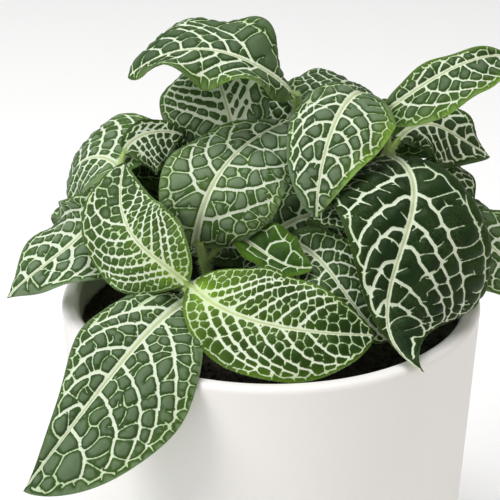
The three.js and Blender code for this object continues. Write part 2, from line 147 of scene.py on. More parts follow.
def map_range(tree, value, low, high, to_low=0.0, to_high=1.0, smooth=False):
    """The value stretched from one range to another."""
    made = add_node(
        tree, "ShaderNodeMapRange",
        {"Value": value, "From Min": low, "From Max": high, "To Min": to_low, "To Max": to_high},
        interpolation_type="SMOOTHSTEP" if smooth else "LINEAR",
    )
    return made.outputs[0]


def build_grain_group():
    """Fine irregular grain on a surface: a mask for colour, and a height in metres."""
    group = bpy.data.node_groups.new("surface_grain", "ShaderNodeTree")
    for name, kind, default in (
        ("Vector", "NodeSocketVector", None), ("Scale", "NodeSocketFloat", 400.0),
        ("Detail", "NodeSocketFloat", 3.0), ("Depth", "NodeSocketFloat", 0.0001),
    ):
        socket = group.interface.new_socket(name, in_out="INPUT", socket_type=kind)
        if default is not None:
            socket.default_value = default
    group.interface.new_socket("Mask", in_out="OUTPUT", socket_type="NodeSocketFloat")
    group.interface.new_socket("Height", in_out="OUTPUT", socket_type="NodeSocketFloat")
    taken = group.nodes.new("NodeGroupInput")
    given = group.nodes.new("NodeGroupOutput")
    noise = add_node(group, "ShaderNodeTexNoise", {
        "Vector": taken.outputs["Vector"], "Scale": taken.outputs["Scale"],
        "Detail": taken.outputs["Detail"],
    })
    height = add_node(group, "ShaderNodeMath", {0: noise.outputs[0], 1: taken.outputs["Depth"]},
                      operation="MULTIPLY")
    group.links.new(noise.outputs[0], given.inputs["Mask"])
    group.links.new(height.outputs[0], given.inputs["Height"])
    return group


grain_group = build_grain_group()


def add_grain(tree, vector, scale, detail, depth):
    """The grain in a material, with a depth in metres."""
    made = tree.nodes.new("ShaderNodeGroup")
    made.node_tree = grain_group
    tree.links.new(vector, made.inputs["Vector"])
    made.inputs["Scale"].default_value = scale
    made.inputs["Detail"].default_value = detail
    made.inputs["Depth"].default_value = depth
    return made


def patchy_share(tree, vector, scale, detail):
    """A share from 0 to 1 that changes in soft patches."""
    grain = add_grain(tree, vector, scale, detail, 0.0)
    return map_range(tree, grain.outputs["Mask"], 0.35, 0.65)


def add_bump(tree, shader, strength, *grains):
    """Raises the surface by the heights of one or more grains."""
    height = grains[0].outputs["Height"]
    for grain in grains[1:]:
        height = add_node(tree, "ShaderNodeMath", {0: height, 1: grain.outputs["Height"]},
                          operation="ADD").outputs[0]
    bump = add_node(tree, "ShaderNodeBump", {"Height": height, "Distance": 1.0, "Strength": strength})
    tree.links.new(bump.outputs[0], shader.inputs["Normal"])


def build_glaze():
    """White glaze with faint turning rings and pores, a little cloudy."""
    material, tree, shader = new_material("satin_white_glaze")
    place = tree.nodes.new("ShaderNodeTexCoord").outputs["Object"]
    rings_place = add_node(tree, "ShaderNodeMapping", {"Vector": place, "Scale": (1, 1, 40)})
    cloud = add_grain(tree, place, 22, 2, 0.0)
    rings = add_grain(tree, rings_place.outputs[0], 12, 3, 0.00006)
    pores = add_grain(tree, place, 900, 2, 0.00001)
    share = map_range(tree, cloud.outputs["Mask"], 0.35, 0.65)
    shade = mix_colors(tree, share, GLAZE_COLOR, (0.845, 0.83, 0.812, 1))
    tree.links.new(shade, shader.inputs["Base Color"])
    rough = map_range(tree, cloud.outputs["Mask"], 0.3, 0.7, 0.42, 0.5)
    tree.links.new(rough, shader.inputs["Roughness"])
    add_bump(tree, shader, 0.6, rings, pores)
    shader.inputs["Coat Weight"].default_value = 0.15
    shader.inputs["Coat Roughness"].default_value = 0.35
    return material


lip_height = POT_HEIGHT - LIP_ROUND
pot_profile = [
    (0, 0),
    *arc(FOOT_RADIUS - FOOT_ROUND, FOOT_ROUND, FOOT_ROUND, -90, 0),
    *arc(RIM_RADIUS - LIP_ROUND, lip_height, LIP_ROUND, 0, 90),
    *arc(RIM_RADIUS - POT_WALL + LIP_ROUND, lip_height, LIP_ROUND, 90, 180),
    (inside_radius(POT_FLOOR + FOOT_ROUND), POT_FLOOR + FOOT_ROUND),
    (inside_radius(POT_FLOOR) - FOOT_ROUND, POT_FLOOR),
    (0, POT_FLOOR),
]
pot_mesh = turned_mesh("glazed_pot", pot_profile, POT_SIDES)
pot_mesh.materials.append(build_glaze())
pot_mesh.shade_smooth()
add_piece("glazed_pot", pot_mesh, "pot_glaze", "pot")

# Soil. Dark moist potting mix, which fills the pot to 8 mm below the rim. Its crumbs are
# scattered over the top, larger and smaller, with a few light grains among them.

SOIL_TOP = 100
SOIL_GAP = 0.5
SOIL_BUMP = 1.2
SOIL_RINGS = 44
SOIL_SIDES = 120
CRUMB_REACH = 52.5
NEIGHBOUR_COSINE = 0.4


def soil_height(x, y):
    """Height of the soil's uneven top."""
    swell = (np.sin(0.21 * x + 1.3) * np.cos(0.17 * y - 0.4)
             + 0.6 * np.sin(0.43 * x - 0.31 * y + 2.1) + 0.4 * np.cos(0.71 * y + 0.55 * x))
    lumps = (np.sin(1.3 * x + 0.4 * y) * np.cos(1.1 * y - 0.7 * x)
             + 0.7 * np.sin(2.3 * x - 1.7 * y + 0.8) * np.cos(2.1 * y + 1.2 * x))
    return SOIL_TOP + SOIL_BUMP * swell / 2 + 0.22 * lumps


def build_soil_mesh():
    """The soil, clear of the pot by the gap, with rings of places over its top."""
    bottom = POT_FLOOR + SOIL_GAP
    low = bottom + FOOT_ROUND
    top_radius = inside_radius(SOIL_TOP) - SOIL_GAP
    angles = 2 * np.pi * np.arange(SOIL_SIDES) / SOIL_SIDES
    rings = [
        (inside_radius(bottom) - FOOT_ROUND - SOIL_GAP, bottom),
        (inside_radius(low) - SOIL_GAP, low),
    ]
    rings += [(top_radius * ring / SOIL_RINGS, None) for ring in range(SOIL_RINGS, 0, -1)]
    places = [(0, 0, bottom), (0, 0, float(soil_height(0, 0)))]
    for radius, height in rings:
        for angle in angles:
            x = radius * math.cos(angle)
            y = radius * math.sin(angle)
            places.append((x, y, float(soil_height(x, y)) if height is None else height))
    faces = ring_faces(len(rings), SOIL_SIDES)
    mesh = bpy.data.meshes.new("potting_soil")
    mesh.from_pydata([tuple(value * MM for value in place) for place in places], [], faces)
    return mesh


def build_soil_material(name, dark, light, rough):
    """Crumbly soil between two colours, with a green tinge in patches."""
    material, tree, shader = new_material(name)
    place = tree.nodes.new("ShaderNodeTexCoord").outputs["Object"]
    crumbs = add_grain(tree, place, 700, 5, 0.0006)
    patches = add_grain(tree, place, 120, 3, 0.0003)
    share = map_range(tree, crumbs.outputs["Mask"], 0.4, 0.7)
    shade = mix_colors(tree, share, dark, light)
    green = map_range(tree, patches.outputs["Mask"], 0.58, 0.72, 0.0, 0.5)
    shade = mix_colors(tree, green, shade, (0.05, 0.062, 0.022, 1))
    tree.links.new(shade, shader.inputs["Base Color"])
    add_bump(tree, shader, 0.9, crumbs, patches)
    shader.inputs["Roughness"].default_value = rough
    return material


def scatter_tree(name, item, material, align):
    """Geometry Nodes that scatter one small item over a surface, with sizes and seed as inputs."""
    tree = bpy.data.node_groups.new(name, "GeometryNodeTree")
    tree.interface.new_socket("Geometry", in_out="INPUT", socket_type="NodeSocketGeometry")
    for socket, kind, default in (
        ("Density", "NodeSocketFloat", 1.0e6), ("Smallest", "NodeSocketFloat", 0.5),
        ("Largest", "NodeSocketFloat", 1.0), ("Tilt", "NodeSocketFloat", 0.5),
        ("Seed", "NodeSocketInt", 0),
    ):
        tree.interface.new_socket(socket, in_out="INPUT", socket_type=kind).default_value = default
    tree.interface.new_socket("Geometry", in_out="OUTPUT", socket_type="NodeSocketGeometry")
    taken = tree.nodes.new("NodeGroupInput")
    given = tree.nodes.new("NodeGroupOutput")
    scattered = add_node(tree, "GeometryNodeDistributePointsOnFaces", {
        "Mesh": taken.outputs["Geometry"], "Density": taken.outputs["Density"],
        "Seed": taken.outputs["Seed"]})
    item_info = add_node(tree, "GeometryNodeObjectInfo", {"Object": item})
    size = add_node(tree, "FunctionNodeRandomValue", {
        2: taken.outputs["Smallest"], 3: taken.outputs["Largest"], "Seed": 3}, data_type="FLOAT")
    lean = add_node(tree, "ShaderNodeMath", {0: taken.outputs["Tilt"], 1: -1.0}, operation="MULTIPLY")
    lows = add_node(tree, "ShaderNodeCombineXYZ", {"X": lean.outputs[0], "Y": lean.outputs[0], "Z": -3.14})
    highs = add_node(tree, "ShaderNodeCombineXYZ", {
        "X": taken.outputs["Tilt"], "Y": taken.outputs["Tilt"], "Z": 3.14})
    turn = add_node(tree, "FunctionNodeRandomValue", {
        0: lows.outputs[0], 1: highs.outputs[0], "Seed": 5}, data_type="FLOAT_VECTOR")
    rotation = turn.outputs[0]
    if align:
        tilted = add_node(tree, "FunctionNodeRotateRotation", {
            "Rotation": scattered.outputs["Rotation"], "Rotate By": rotation}, rotation_space="LOCAL")
        rotation = tilted.outputs[0]
    placed = add_node(tree, "GeometryNodeInstanceOnPoints", {
        "Points": scattered.outputs["Points"], "Instance": item_info.outputs["Geometry"],
        "Rotation": rotation, "Scale": size.outputs[1]})
    real = add_node(tree, "GeometryNodeRealizeInstances", {"Geometry": placed.outputs[0]})
    dressed = add_node(tree, "GeometryNodeSetMaterial", {"Geometry": real.outputs[0], "Material": material})
    tree.links.new(dressed.outputs[0], given.inputs["Geometry"])
    return tree


def scattered_mesh(name, surface, tree, **inputs):
    """The mesh that a scattering tree makes over a surface mesh."""
    holder = bpy.data.objects.new(name, surface)
    bpy.context.scene.collection.objects.link(holder)
    modifier = holder.modifiers.new(name, "NODES")
    modifier.node_group = tree
    for item in tree.interface.items_tree:
        if item.in_out == "INPUT" and item.name in inputs:
            modifier[item.identifier] = inputs[item.name]
    bpy.context.view_layer.update()
    evaluated = holder.evaluated_get(bpy.context.evaluated_depsgraph_get())
    mesh = bpy.data.meshes.new_from_object(evaluated)
    mesh.name = name
    bpy.data.objects.remove(holder)
    return mesh


def build_crumb(radius, seed):
    """A rough crumb with twenty faces."""
    rng = np.random.default_rng(seed)
    golden = (1 + 5 ** 0.5) / 2
    places = []
    for a in (-1, 1):
        for b in (-golden, golden):
            places += [(0, a, b), (a, b, 0), (b, 0, a)]
    places = np.array(places, float) / math.hypot(1, golden)
    places *= radius * MM * rng.uniform(0.6, 1.15, (12, 1)) * np.array([1, 1, 0.75])
    hull = bpy.data.meshes.new("crumb")
    faces = []
    count = len(places)
    outward = places / np.linalg.norm(places, axis=1, keepdims=True)
    near = outward @ outward.T > NEIGHBOUR_COSINE
    for i in range(count):
        for j in range(i + 1, count):
            for k in range(j + 1, count):
                if near[i, j] and near[j, k] and near[i, k]:
                    normal = np.cross(outward[j] - outward[i], outward[k] - outward[i])
                    faces.append((i, j, k) if normal @ outward[i] > 0 else (i, k, j))
    hull.from_pydata([tuple(place) for place in places], [], faces)
    return bpy.data.objects.new("crumb", hull)


soil_mesh = build_soil_mesh()
soil_material = build_soil_material("moist_soil", (0.012, 0.01, 0.007, 1), (0.055, 0.045, 0.03, 1), 0.9)
soil_mesh.materials.append(soil_material)
add_piece("potting_soil", soil_mesh, "soil", "soil")

soil_top = bpy.data.meshes.new("soil_top")
top_faces = [p for p in soil_mesh.polygons if p.normal.z > 0.3 and p.center.z > (SOIL_TOP - 10) * MM
             and math.hypot(p.center.x, p.center.y) < CRUMB_REACH * MM]
soil_top.from_pydata([v.co[:] for v in soil_mesh.vertices], [], [tuple(p.vertices) for p in top_faces])
# Name and radius; crumbs on a square metre; smallest and largest size; seed; material.
CRUMB_SIZES = (
    ("soil_crumbs_fine", 0.75, 0.35e6, 0.35, 1.0, 11, soil_material),
    ("soil_crumbs_coarse", 1.7, 0.045e6, 0.5, 1.1, 12, soil_material),
    ("soil_grains_light", 0.55, 0.012e6, 0.5, 1.0, 13,
     build_soil_material("light_grains", (0.05, 0.045, 0.03, 1), (0.16, 0.14, 0.09, 1), 0.8)),
)
for name, radius, density, smallest, largest, seed, material in CRUMB_SIZES:
    crumb = build_crumb(radius, seed)
    tree = scatter_tree(name, crumb, material, align=False)
    mesh = scattered_mesh(name, soil_top.copy(), tree, Density=density, Smallest=smallest,
                          Largest=largest, Tilt=3.14, Seed=seed)
    add_piece(name, mesh, "soil")
    bpy.data.objects.remove(crumb)

# Leafy stems. Soft green stems stand in the soil and carry oval leaves on short
# stalks. Each blade is waved and quilted between a net of white veins: a midrib, side
# veins that arch towards the tip and join near the margin, and a mesh of fine ones.

STEM_RADIUS = 1.5
STEM_TIP_RADIUS = 1.2
PETIOLE_RADIUS = 1.0
HOLE_DEPTH = 10
FOOT_GAP = 0.6
JOINT_SWELL = 0.35
JOINT_REACH = 0.045
STALK_TAPER = 0.45
STEM_RINGS = 26
STALK_RINGS = 14
BLADE_HALF = 0.28
MARGIN_HALF = 0.14

# How far in from the margin a blade takes to reach its full thickness, how far from fine and
# main veins it takes to puff up, how high ribs stand out below, and how far lime reaches.
MARGIN_FADE = 1.2
MESH_PUFF_REACH = 0.8
BAND_PUFF_REACH = 3.5
RIB_SWELL = 0.45
LIME_REACH = 0.26

# How the vein net of a leaf looks: side veins on each side, the share of the midrib that they
# leave from, how far they sweep towards the tip, on the left and right where two values stand,
# how straight they set out, how far they zigzag and whether they hug the margin; length of a
# mesh to its width, depth of a row of meshes and width of one; half widths of midrib, side
# veins and fine veins, in millimetres; share of fine veins that end free, and thorns on a
# millimetre of vein; height of the quilting; how light the green is, partly the leaf's own tone
# and partly painted light and shade, and how strong the painted sheen is on the crown of each
# mesh; and how much lime lies at the base and along the left and right margins, partly the
# leaf's own colour and partly painted glow of light shining through the thin blade.
PLAIN_NET = dict(count=6, spread=0.86, sweep=0.5, arch=0.36, zigzag=0.12, hugs=False, aspect=1.0)
NETS = {
    "open": dict(PLAIN_NET, row=8.0, cell=5.2, widths=(0.8, 0.54, 0.15), spurs=0.5, thorns=0.14,
                 quilt=1.0, shade=0.25, painted_sheen=0.15, lime_base=0.05, lime_margin=(0.1, 0.1)),
    "wide": dict(PLAIN_NET, row=4.8, cell=3.8, widths=(0.9, 0.46, 0.11), spurs=0.12, thorns=0.06,
                 quilt=0.95, shade=0.45, painted_sheen=0.4, lime_base=0.1, lime_margin=(0.1, 0.1)),
    "middling": dict(PLAIN_NET, row=4.2, cell=3.4, widths=(0.8, 0.42, 0.1), spurs=0.1, thorns=0.05,
                     quilt=0.85, shade=0.6, painted_sheen=0.5, lime_base=0.2, lime_margin=(0.2, 0.2)),
    "small": dict(PLAIN_NET, spread=0.8, row=3.2, cell=2.7, widths=(0.6, 0.32, 0.09), spurs=0.08,
                  thorns=0.04, quilt=0.6, shade=0.4, painted_sheen=0.3, lime_base=0.1, lime_margin=(0.1, 0.1)),
    "brick": dict(PLAIN_NET, spread=0.72, sweep=0.6, hugs=True, row=3.1, cell=2.5,
                  widths=(0.65, 0.36, 0.09), spurs=0.06, thorns=0.03, quilt=0.6, shade=0.45,
                  painted_sheen=0.2, lime_base=1.5, lime_margin=(0.2, 0.2)),
}

# Each stem has its foot in the soil, the places it passes above it, and its leaves. Of a leaf:
# the share of the stem that its stalk leaves from; four places on its midrib; its width, and
# the share of it on the left and right; where its upper face looks at the base and at the tip;
# how far its halves bend down and how steep they are folded, in degrees; how its outline rounds
# towards both ends; the waves of its margin; and its net and seed, with what differs in them.
# The lightness and sheen in the looks below are set leaf by leaf, partly as painted light and shade: raised
# on leaves that lie in shadow and lowered on leaves turned from the light.
LEAFY_STEMS = [
    dict(name="front", foot=(-19, -20), path=[(-21, -26, 112), (-22.5, -31, 124)], leaves=[
        dict(fork=0.7, rib=[(-23, -28, 118), (-34, -44, 115), (-47, -56.5, 103), (-65, -65, 81)],
             width=44, share=(1.05, 0.75), face=(-0.3, -0.75, 0.6), droop=(28, 40),
             base_round=(1, 0.9), tip_round=(0.72, 1.5), net="wide", seed=101,
             look=dict(widths=(1.25, 0.54, 0.12), shade=0.5, painted_sheen=0.65)),
        dict(fork=1, rib=[(-24, -31, 126), (-33, -27, 132), (-40, -18, 138), (-41, -1, 148)],
             width=32, share=(0.93, 0.78), face=(-0.5, -0.8, 0.3), tip_face=(0, -0.95, 0.3),
             droop=(30, 30), base_round=(0.8, 0.6), tip_round=(0.8, 0.8), net="brick", seed=102,
             look=dict(cell=2.4, painted_sheen=0.55)),
        dict(fork=1, rib=[(-21, -32, 124), (-8, -42, 120), (9, -45, 117.4), (27, -40, 113.6)],
             width=34, share=(1, 0.9), face=(-0.2, -0.6, 0.8), tip_face=(0.3, -0.7, 0.65),
             droop=(35, 30), base_round=(0.5, 0.75), tip_round=(0.7, 0.8), net="brick", seed=103,
             look=dict(cell=2.9, widths=(0.8, 0.44, 0.1), shade=0.1, painted_sheen=0, lime_margin=(0.3, 0.3))),
    ]),
    dict(name="middle", foot=(-17, -8), path=[(-18, -11, 118), (-20, -14, 130)], leaves=[
        dict(fork=1, rib=[(-21, -14, 130), (-16, -13, 146), (-7, -1, 153), (7, 13, 156)],
             width=38, share=(0.8, 1), face=(0.1, -0.6, 0.8), tip_face=(0.1, -0.1, 0.95),
             droop=(35, 45), base_round=(0.55, 0.45), tip_round=(1, 0.7), net="middling", seed=104,
             look=dict(cell=4.0, row=5, count=5, widths=(0.85, 0.52, 0.12), shade=0.8, painted_sheen=1)),
        dict(fork=0.8, rib=[(-10.5, -13, 131), (-3.7, -19, 129.4), (3, -24, 127.2), (11, -27, 127.6)],
             width=20, share=(0.9, 0.62), face=(0.1, -0.6, 0.8), droop=(-10, -10), fold=20,
             base_round=(0.7, 0.7), tip_round=(0.7, 0.7), net="middling", seed=106,
             look=dict(count=3, row=9, cell=6, widths=(0.6, 0.42, 0.13), shade=1, painted_sheen=0,
                       lime_base=0.15, lime_margin=(0.25, 0.25))),
    ]),
    dict(name="left", foot=(-38, -2), path=[(-42, 0, 125), (-44, 2, 140)], leaves=[
        dict(fork=1, rib=[(-43, 6, 143), (-48, 13, 144), (-55, 19, 140), (-59, 25, 129)],
             width=42, face=(-0.2, -0.5, 0.85), tip_face=(-0.7, -0.2, 0.6), droop=(45, 45), fold=8,
             net="middling", seed=107,
             look=dict(cell=3.2, widths=(0.8, 0.5, 0.11), shade=0.7, painted_sheen=1)),
        dict(fork=1, rib=[(-41, 8, 149), (-36, 9, 152.5), (-30, 9, 153.5), (-25, 9, 152.5)],
             width=24, share=(0.35, 1), face=(0, -0.8, 0.6), droop=(30, 30), net="small", seed=105),
        dict(fork=1, rib=[(-49, -2, 139), (-52, -7, 130), (-62, -11, 122), (-74, -13, 112)],
             width=34, share=(1, 0.9), face=(-0.3, -0.7, 0.6), tip_face=(-0.4, -0.4, 0.8),
             droop=(40, 45), fold=5, tip_round=(1.2, 0.85), wave=3, waves=1.7, phase=(0.24, 0),
             net="wide", seed=108,
             look=dict(cell=3.7, widths=(0.9, 0.6, 0.12), shade=0.7, painted_sheen=1)),
    ]),
    dict(name="top", foot=(2, 14), path=[(4, 19, 125), (8, 19, 152), (7, 13, 163)], leaves=[
        dict(fork=1, rib=[(6, 9, 165), (-6, 5, 175), (-22, 7, 178), (-40, 10, 169)],
             width=42, share=(0.5, 0.92), face=(0, -0.5, 0.85), tip_face=(0, -0.25, 0.95),
             droop=(45, 15), tip_droop=(45, 70), fold=5, wave=4.5, waves=2.05,
             phase=(-0.4, -0.41), base_round=(0.8, 1.0), tip_round=(0.7, 0.55),
             net="wide", seed=109,
             look=dict(sweep=(0.45, 0.8), arch=0.8, cell=3.6, row=3.6, aspect=1.5,
                       widths=(0.7, 0.42, 0.1), lime_margin=(0.3, 0.1))),
        dict(fork=0.6, rib=[(-10, 11, 148), (-12, 15, 157), (-15, 21, 165), (-18, 30, 169)],
             width=32, share=(1.2, 0.82), face=(-0.1, -0.9, 0.4), droop=(20, 20),
             base_round=(0.6, 0.6), tip_round=(0.5, 0.55), net="open", seed=110,
             look=dict(count=7, cell=3.4, row=4.4, sweep=0.62, arch=0.8, widths=(0.85, 0.58, 0.12),
                       spurs=0.12, thorns=0.06, shade=0.9, painted_sheen=0.9)),
        dict(fork=0.25, rib=[(-6, 4, 115), (-13, 10, 119), (-21, 15, 117), (-28, 18, 110)],
             width=26, face=(0, 0.1, 0.95), droop=(35, 35), net="small", seed=111),
        dict(fork=0.3, rib=[(3, 13, 122), (12, 11, 127), (22, 12, 126), (31, 13, 119)],
             width=26, face=(0.1, -0.8, 0.6), droop=(35, 35), net="wide", seed=138),
    ]),
    dict(name="right_middle", foot=(12, 0), path=[(15, 6, 135), (20, 14, 155), (24, 12, 162)],
         leaves=[
        dict(fork=1, rib=[(25, 11, 164), (19, -1, 163), (14, -13, 154), (12, -20, 139)],
             width=36, share=(0.87, 0.72), face=(-0.1, -0.6, 0.8), tip_face=(-0.1, -0.95, 0.3),
             droop=(30, 60), fold=8, tip_round=(1, 0.75), net="wide", seed=112,
             look=dict(sweep=0.6, cell=3.9, row=4.8, painted_sheen=0.8, lime_margin=(0.8, 0.1))),
        dict(fork=0.7, rib=[(16, 20, 152), (19, 26, 159), (22, 34, 160), (25, 44, 154)],
             width=30, face=(0.1, -0.4, 0.9), droop=(40, 40), net="small", seed=113),
        dict(fork=0.35, rib=[(5, -15, 130), (14, -24, 127), (21, -32, 120), (31, -36, 110)],
             width=30, share=(0.7, 0.8), face=(0.1, -0.75, 0.65), droop=(35, 35),
             tip_round=(0.75, 0.75), net="small", seed=114),
        dict(fork=0.4, rib=[(15, 1, 128), (18, -6, 137), (21, -14, 138), (24, -22, 134)],
             width=22, face=(0, -0.5, 0.85), droop=(30, 30), net="small", seed=115),
        dict(fork=0.3, rib=[(8, -4, 116), (4, -10, 120), (-1, -16, 119), (-5, -21, 112)],
             width=26, face=(0, -0.2, 0.95), droop=(35, 35), net="small", seed=116),
    ]),
    dict(name="right", foot=(34, 2), path=[(36, 6, 128), (33, 8, 147)], leaves=[
        dict(fork=1, rib=[(33, 9, 160), (44, 7, 169), (57, 11, 174), (70, 17, 172)],
             width=24, share=(0.45, 1), face=(-0.1, -0.65, 0.75), droop=(40, 10), fold=10,
             base_round=(0.45, 0.45), tip_round=(0.9, 0.7), net="middling", seed=117,
             look=dict(widths=(0.6, 0.34, 0.1), shade=0.4, lime_margin=(0.5, 0.5))),
        dict(fork=1, rib=[(37, 12, 151), (45, 16, 153), (53, 18, 149), (64, 22, 141)],
             width=27, share=(0.85, 1), face=(-0.1, -0.6, 0.8), droop=(30, 30), wave=2,
             net="open", seed=118,
             look=dict(cell=3.8, row=4.6, widths=(0.8, 0.55, 0.12), shade=0.2)),
        dict(fork=1, rib=[(34, 3, 148), (37, -23.5, 140.5), (30.5, -36.5, 122), (39.5, -51, 108.5)],
             width=52, share=(1.28, 0.95), face=(0.15, -0.6, 0.8), tip_face=(0.25, -0.8, 0.5),
             droop=(53, 51), tip_droop=(78, 75), fold=6, base_round=(1.2, 0.72), tip_round=(1.35, 2.6),
             net="open", seed=119,
             look=dict(count=7, sweep=(0.65, 0.4), arch=0.75, zigzag=0.22, row=8, cell=4.8,
                       widths=(0.8, 0.58, 0.19), spurs=0.66, thorns=0.09, shade=0.03, painted_sheen=0.02)),
        dict(fork=0.75, rib=[(44, 12, 137), (49, 11, 139), (54, 10, 136), (58, 9, 130)],
             width=20, face=(0.3, -0.5, 0.8), droop=(40, 40), net="small", seed=120),
        dict(fork=0.5, rib=[(54, 0, 124), (61, -3, 124), (67, -6, 118), (71, -9, 108)],
             width=30, face=(0.4, -0.6, 0.7), droop=(35, 40), net="middling", seed=121),
        dict(fork=0.4, rib=[(46, 10, 120), (58, 14, 122), (69, 17, 115), (76, 19, 104)],
             width=28, face=(0.4, 0.2, 0.9), tip_face=(0.9, 0.3, 0.3), droop=(40, 40),
             net="middling", seed=122),
    ]),
    dict(name="back", foot=(-1, 30), path=[(-2, 32, 120), (-2, 34, 146)], leaves=[
        dict(fork=0.6, rib=[(0, 24, 140), (4, 26, 149), (8, 30, 155), (10, 37, 158)],
             width=26, face=(0.1, -0.7, 0.7), droop=(30, 30), net="small", seed=123),
        dict(fork=0.4, rib=[(-16, 30, 122), (-21, 44, 127), (-27, 58, 122), (-32, 68, 108)],
             width=38, face=(-0.2, 0.5, 0.85), tip_face=(-0.4, 0.9, 0.2), droop=(40, 40),
             net="wide", seed=124),
        dict(fork=0.4, rib=[(14, 32, 122), (18, 47, 127), (22, 61, 121), (24, 70, 106)],
             width=38, face=(0.2, 0.5, 0.85), tip_face=(0.3, 0.95, 0.2), droop=(45, 45),
             net="open", seed=125),
        dict(fork=0.7, rib=[(-8, 32, 134), (-10, 42, 140), (-12, 53, 136), (-13, 62, 125)],
             width=34, face=(-0.1, 0.3, 0.95), tip_face=(-0.1, 0.9, 0.4), droop=(40, 40),
             net="middling", seed=126),
        dict(fork=1, rib=[(1, 35, 151), (0, 44, 155), (-2, 53, 153), (-4, 61, 145)],
             width=28, face=(0, 0.2, 0.95), tip_face=(0, 0.7, 0.7), droop=(35, 35),
             net="brick", seed=127),
        dict(fork=0.45, rib=[(-2, 40, 120), (-3, 52, 122), (-4, 64, 116), (-4, 73, 103)],
             width=30, face=(0, 0.4, 0.9), tip_face=(0, 0.95, 0.3), droop=(40, 40),
             net="middling", seed=128),
        dict(fork=1, rib=[(-14, 36, 146), (-18, 45, 150), (-21, 54, 147), (-23, 61, 139)],
             width=24, face=(0, 0.2, 0.95), tip_face=(0, 0.7, 0.7), droop=(35, 35),
             net="small", seed=129),
    ]),
    dict(name="back_right", foot=(30, 24), path=[(31, 26, 120), (28, 26, 144)], leaves=[
        dict(fork=0.5, rib=[(38, 22, 122), (49, 30, 126), (60, 37, 120), (68, 42, 107)],
             width=34, face=(0.4, 0.4, 0.85), tip_face=(0.8, 0.6, 0.2), droop=(40, 40),
             net="open", seed=130),
        dict(fork=0.8, rib=[(28, 30, 138), (36, 38, 143), (44, 47, 140), (50, 54, 130)],
             width=34, face=(0.3, 0.3, 0.9), tip_face=(0.6, 0.7, 0.4), droop=(40, 40),
             net="middling", seed=131),
        dict(fork=1, rib=[(28, 24, 148), (36, 32, 152), (44, 40, 150), (51, 47, 142)],
             width=28, face=(0.2, 0.2, 0.95), tip_face=(0.5, 0.5, 0.7), droop=(35, 35),
             net="brick", seed=132),
    ]),
    dict(name="back_left", foot=(-28, 20), path=[(-29, 22, 120), (-27, 24, 141)], leaves=[
        dict(fork=0.5, rib=[(-36, 16, 124), (-47, 24, 129), (-57, 32, 124), (-64, 39, 110)],
             width=32, face=(-0.4, 0.3, 0.85), tip_face=(-0.8, 0.5, 0.3), droop=(40, 40),
             net="middling", seed=133),
        dict(fork=0.6, rib=[(-28, 28, 130), (-37, 37, 134), (-46, 46, 130), (-52, 54, 119)],
             width=32, face=(-0.3, 0.3, 0.9), tip_face=(-0.6, 0.7, 0.4), droop=(40, 40),
             net="wide", seed=134),
        dict(fork=1, rib=[(-29, 26, 141), (-37, 35, 144), (-45, 43, 141), (-51, 49, 133)],
             width=26, face=(-0.2, 0.2, 0.95), tip_face=(-0.5, 0.5, 0.7), droop=(35, 35),
             net="middling", seed=135),
        dict(fork=1, rib=[(-20, 22, 143), (-21, 25, 149), (-22, 30, 153), (-23, 37, 154)],
             width=22, face=(-0.1, -0.8, 0.6), droop=(25, 25), net="small", seed=136),
        dict(fork=0.4, rib=[(-40, 9, 120), (-50, 13, 123), (-59, 17, 117), (-65, 20, 106)],
             width=26, face=(-0.3, 0.2, 0.9), tip_face=(-0.8, 0.3, 0.4), droop=(40, 40),
             net="small", seed=137),
    ]),
]


def unit(vectors):
    """The vectors at length 1."""
    vectors = np.asarray(vectors, float)
    return vectors / np.maximum(np.linalg.norm(vectors, axis=-1, keepdims=True), 1e-12)


def run_along(x, y):
    """Length run along a path in a plane, at each of its points."""
    return np.concatenate([[0], np.cumsum(np.hypot(np.diff(x), np.diff(y)))])


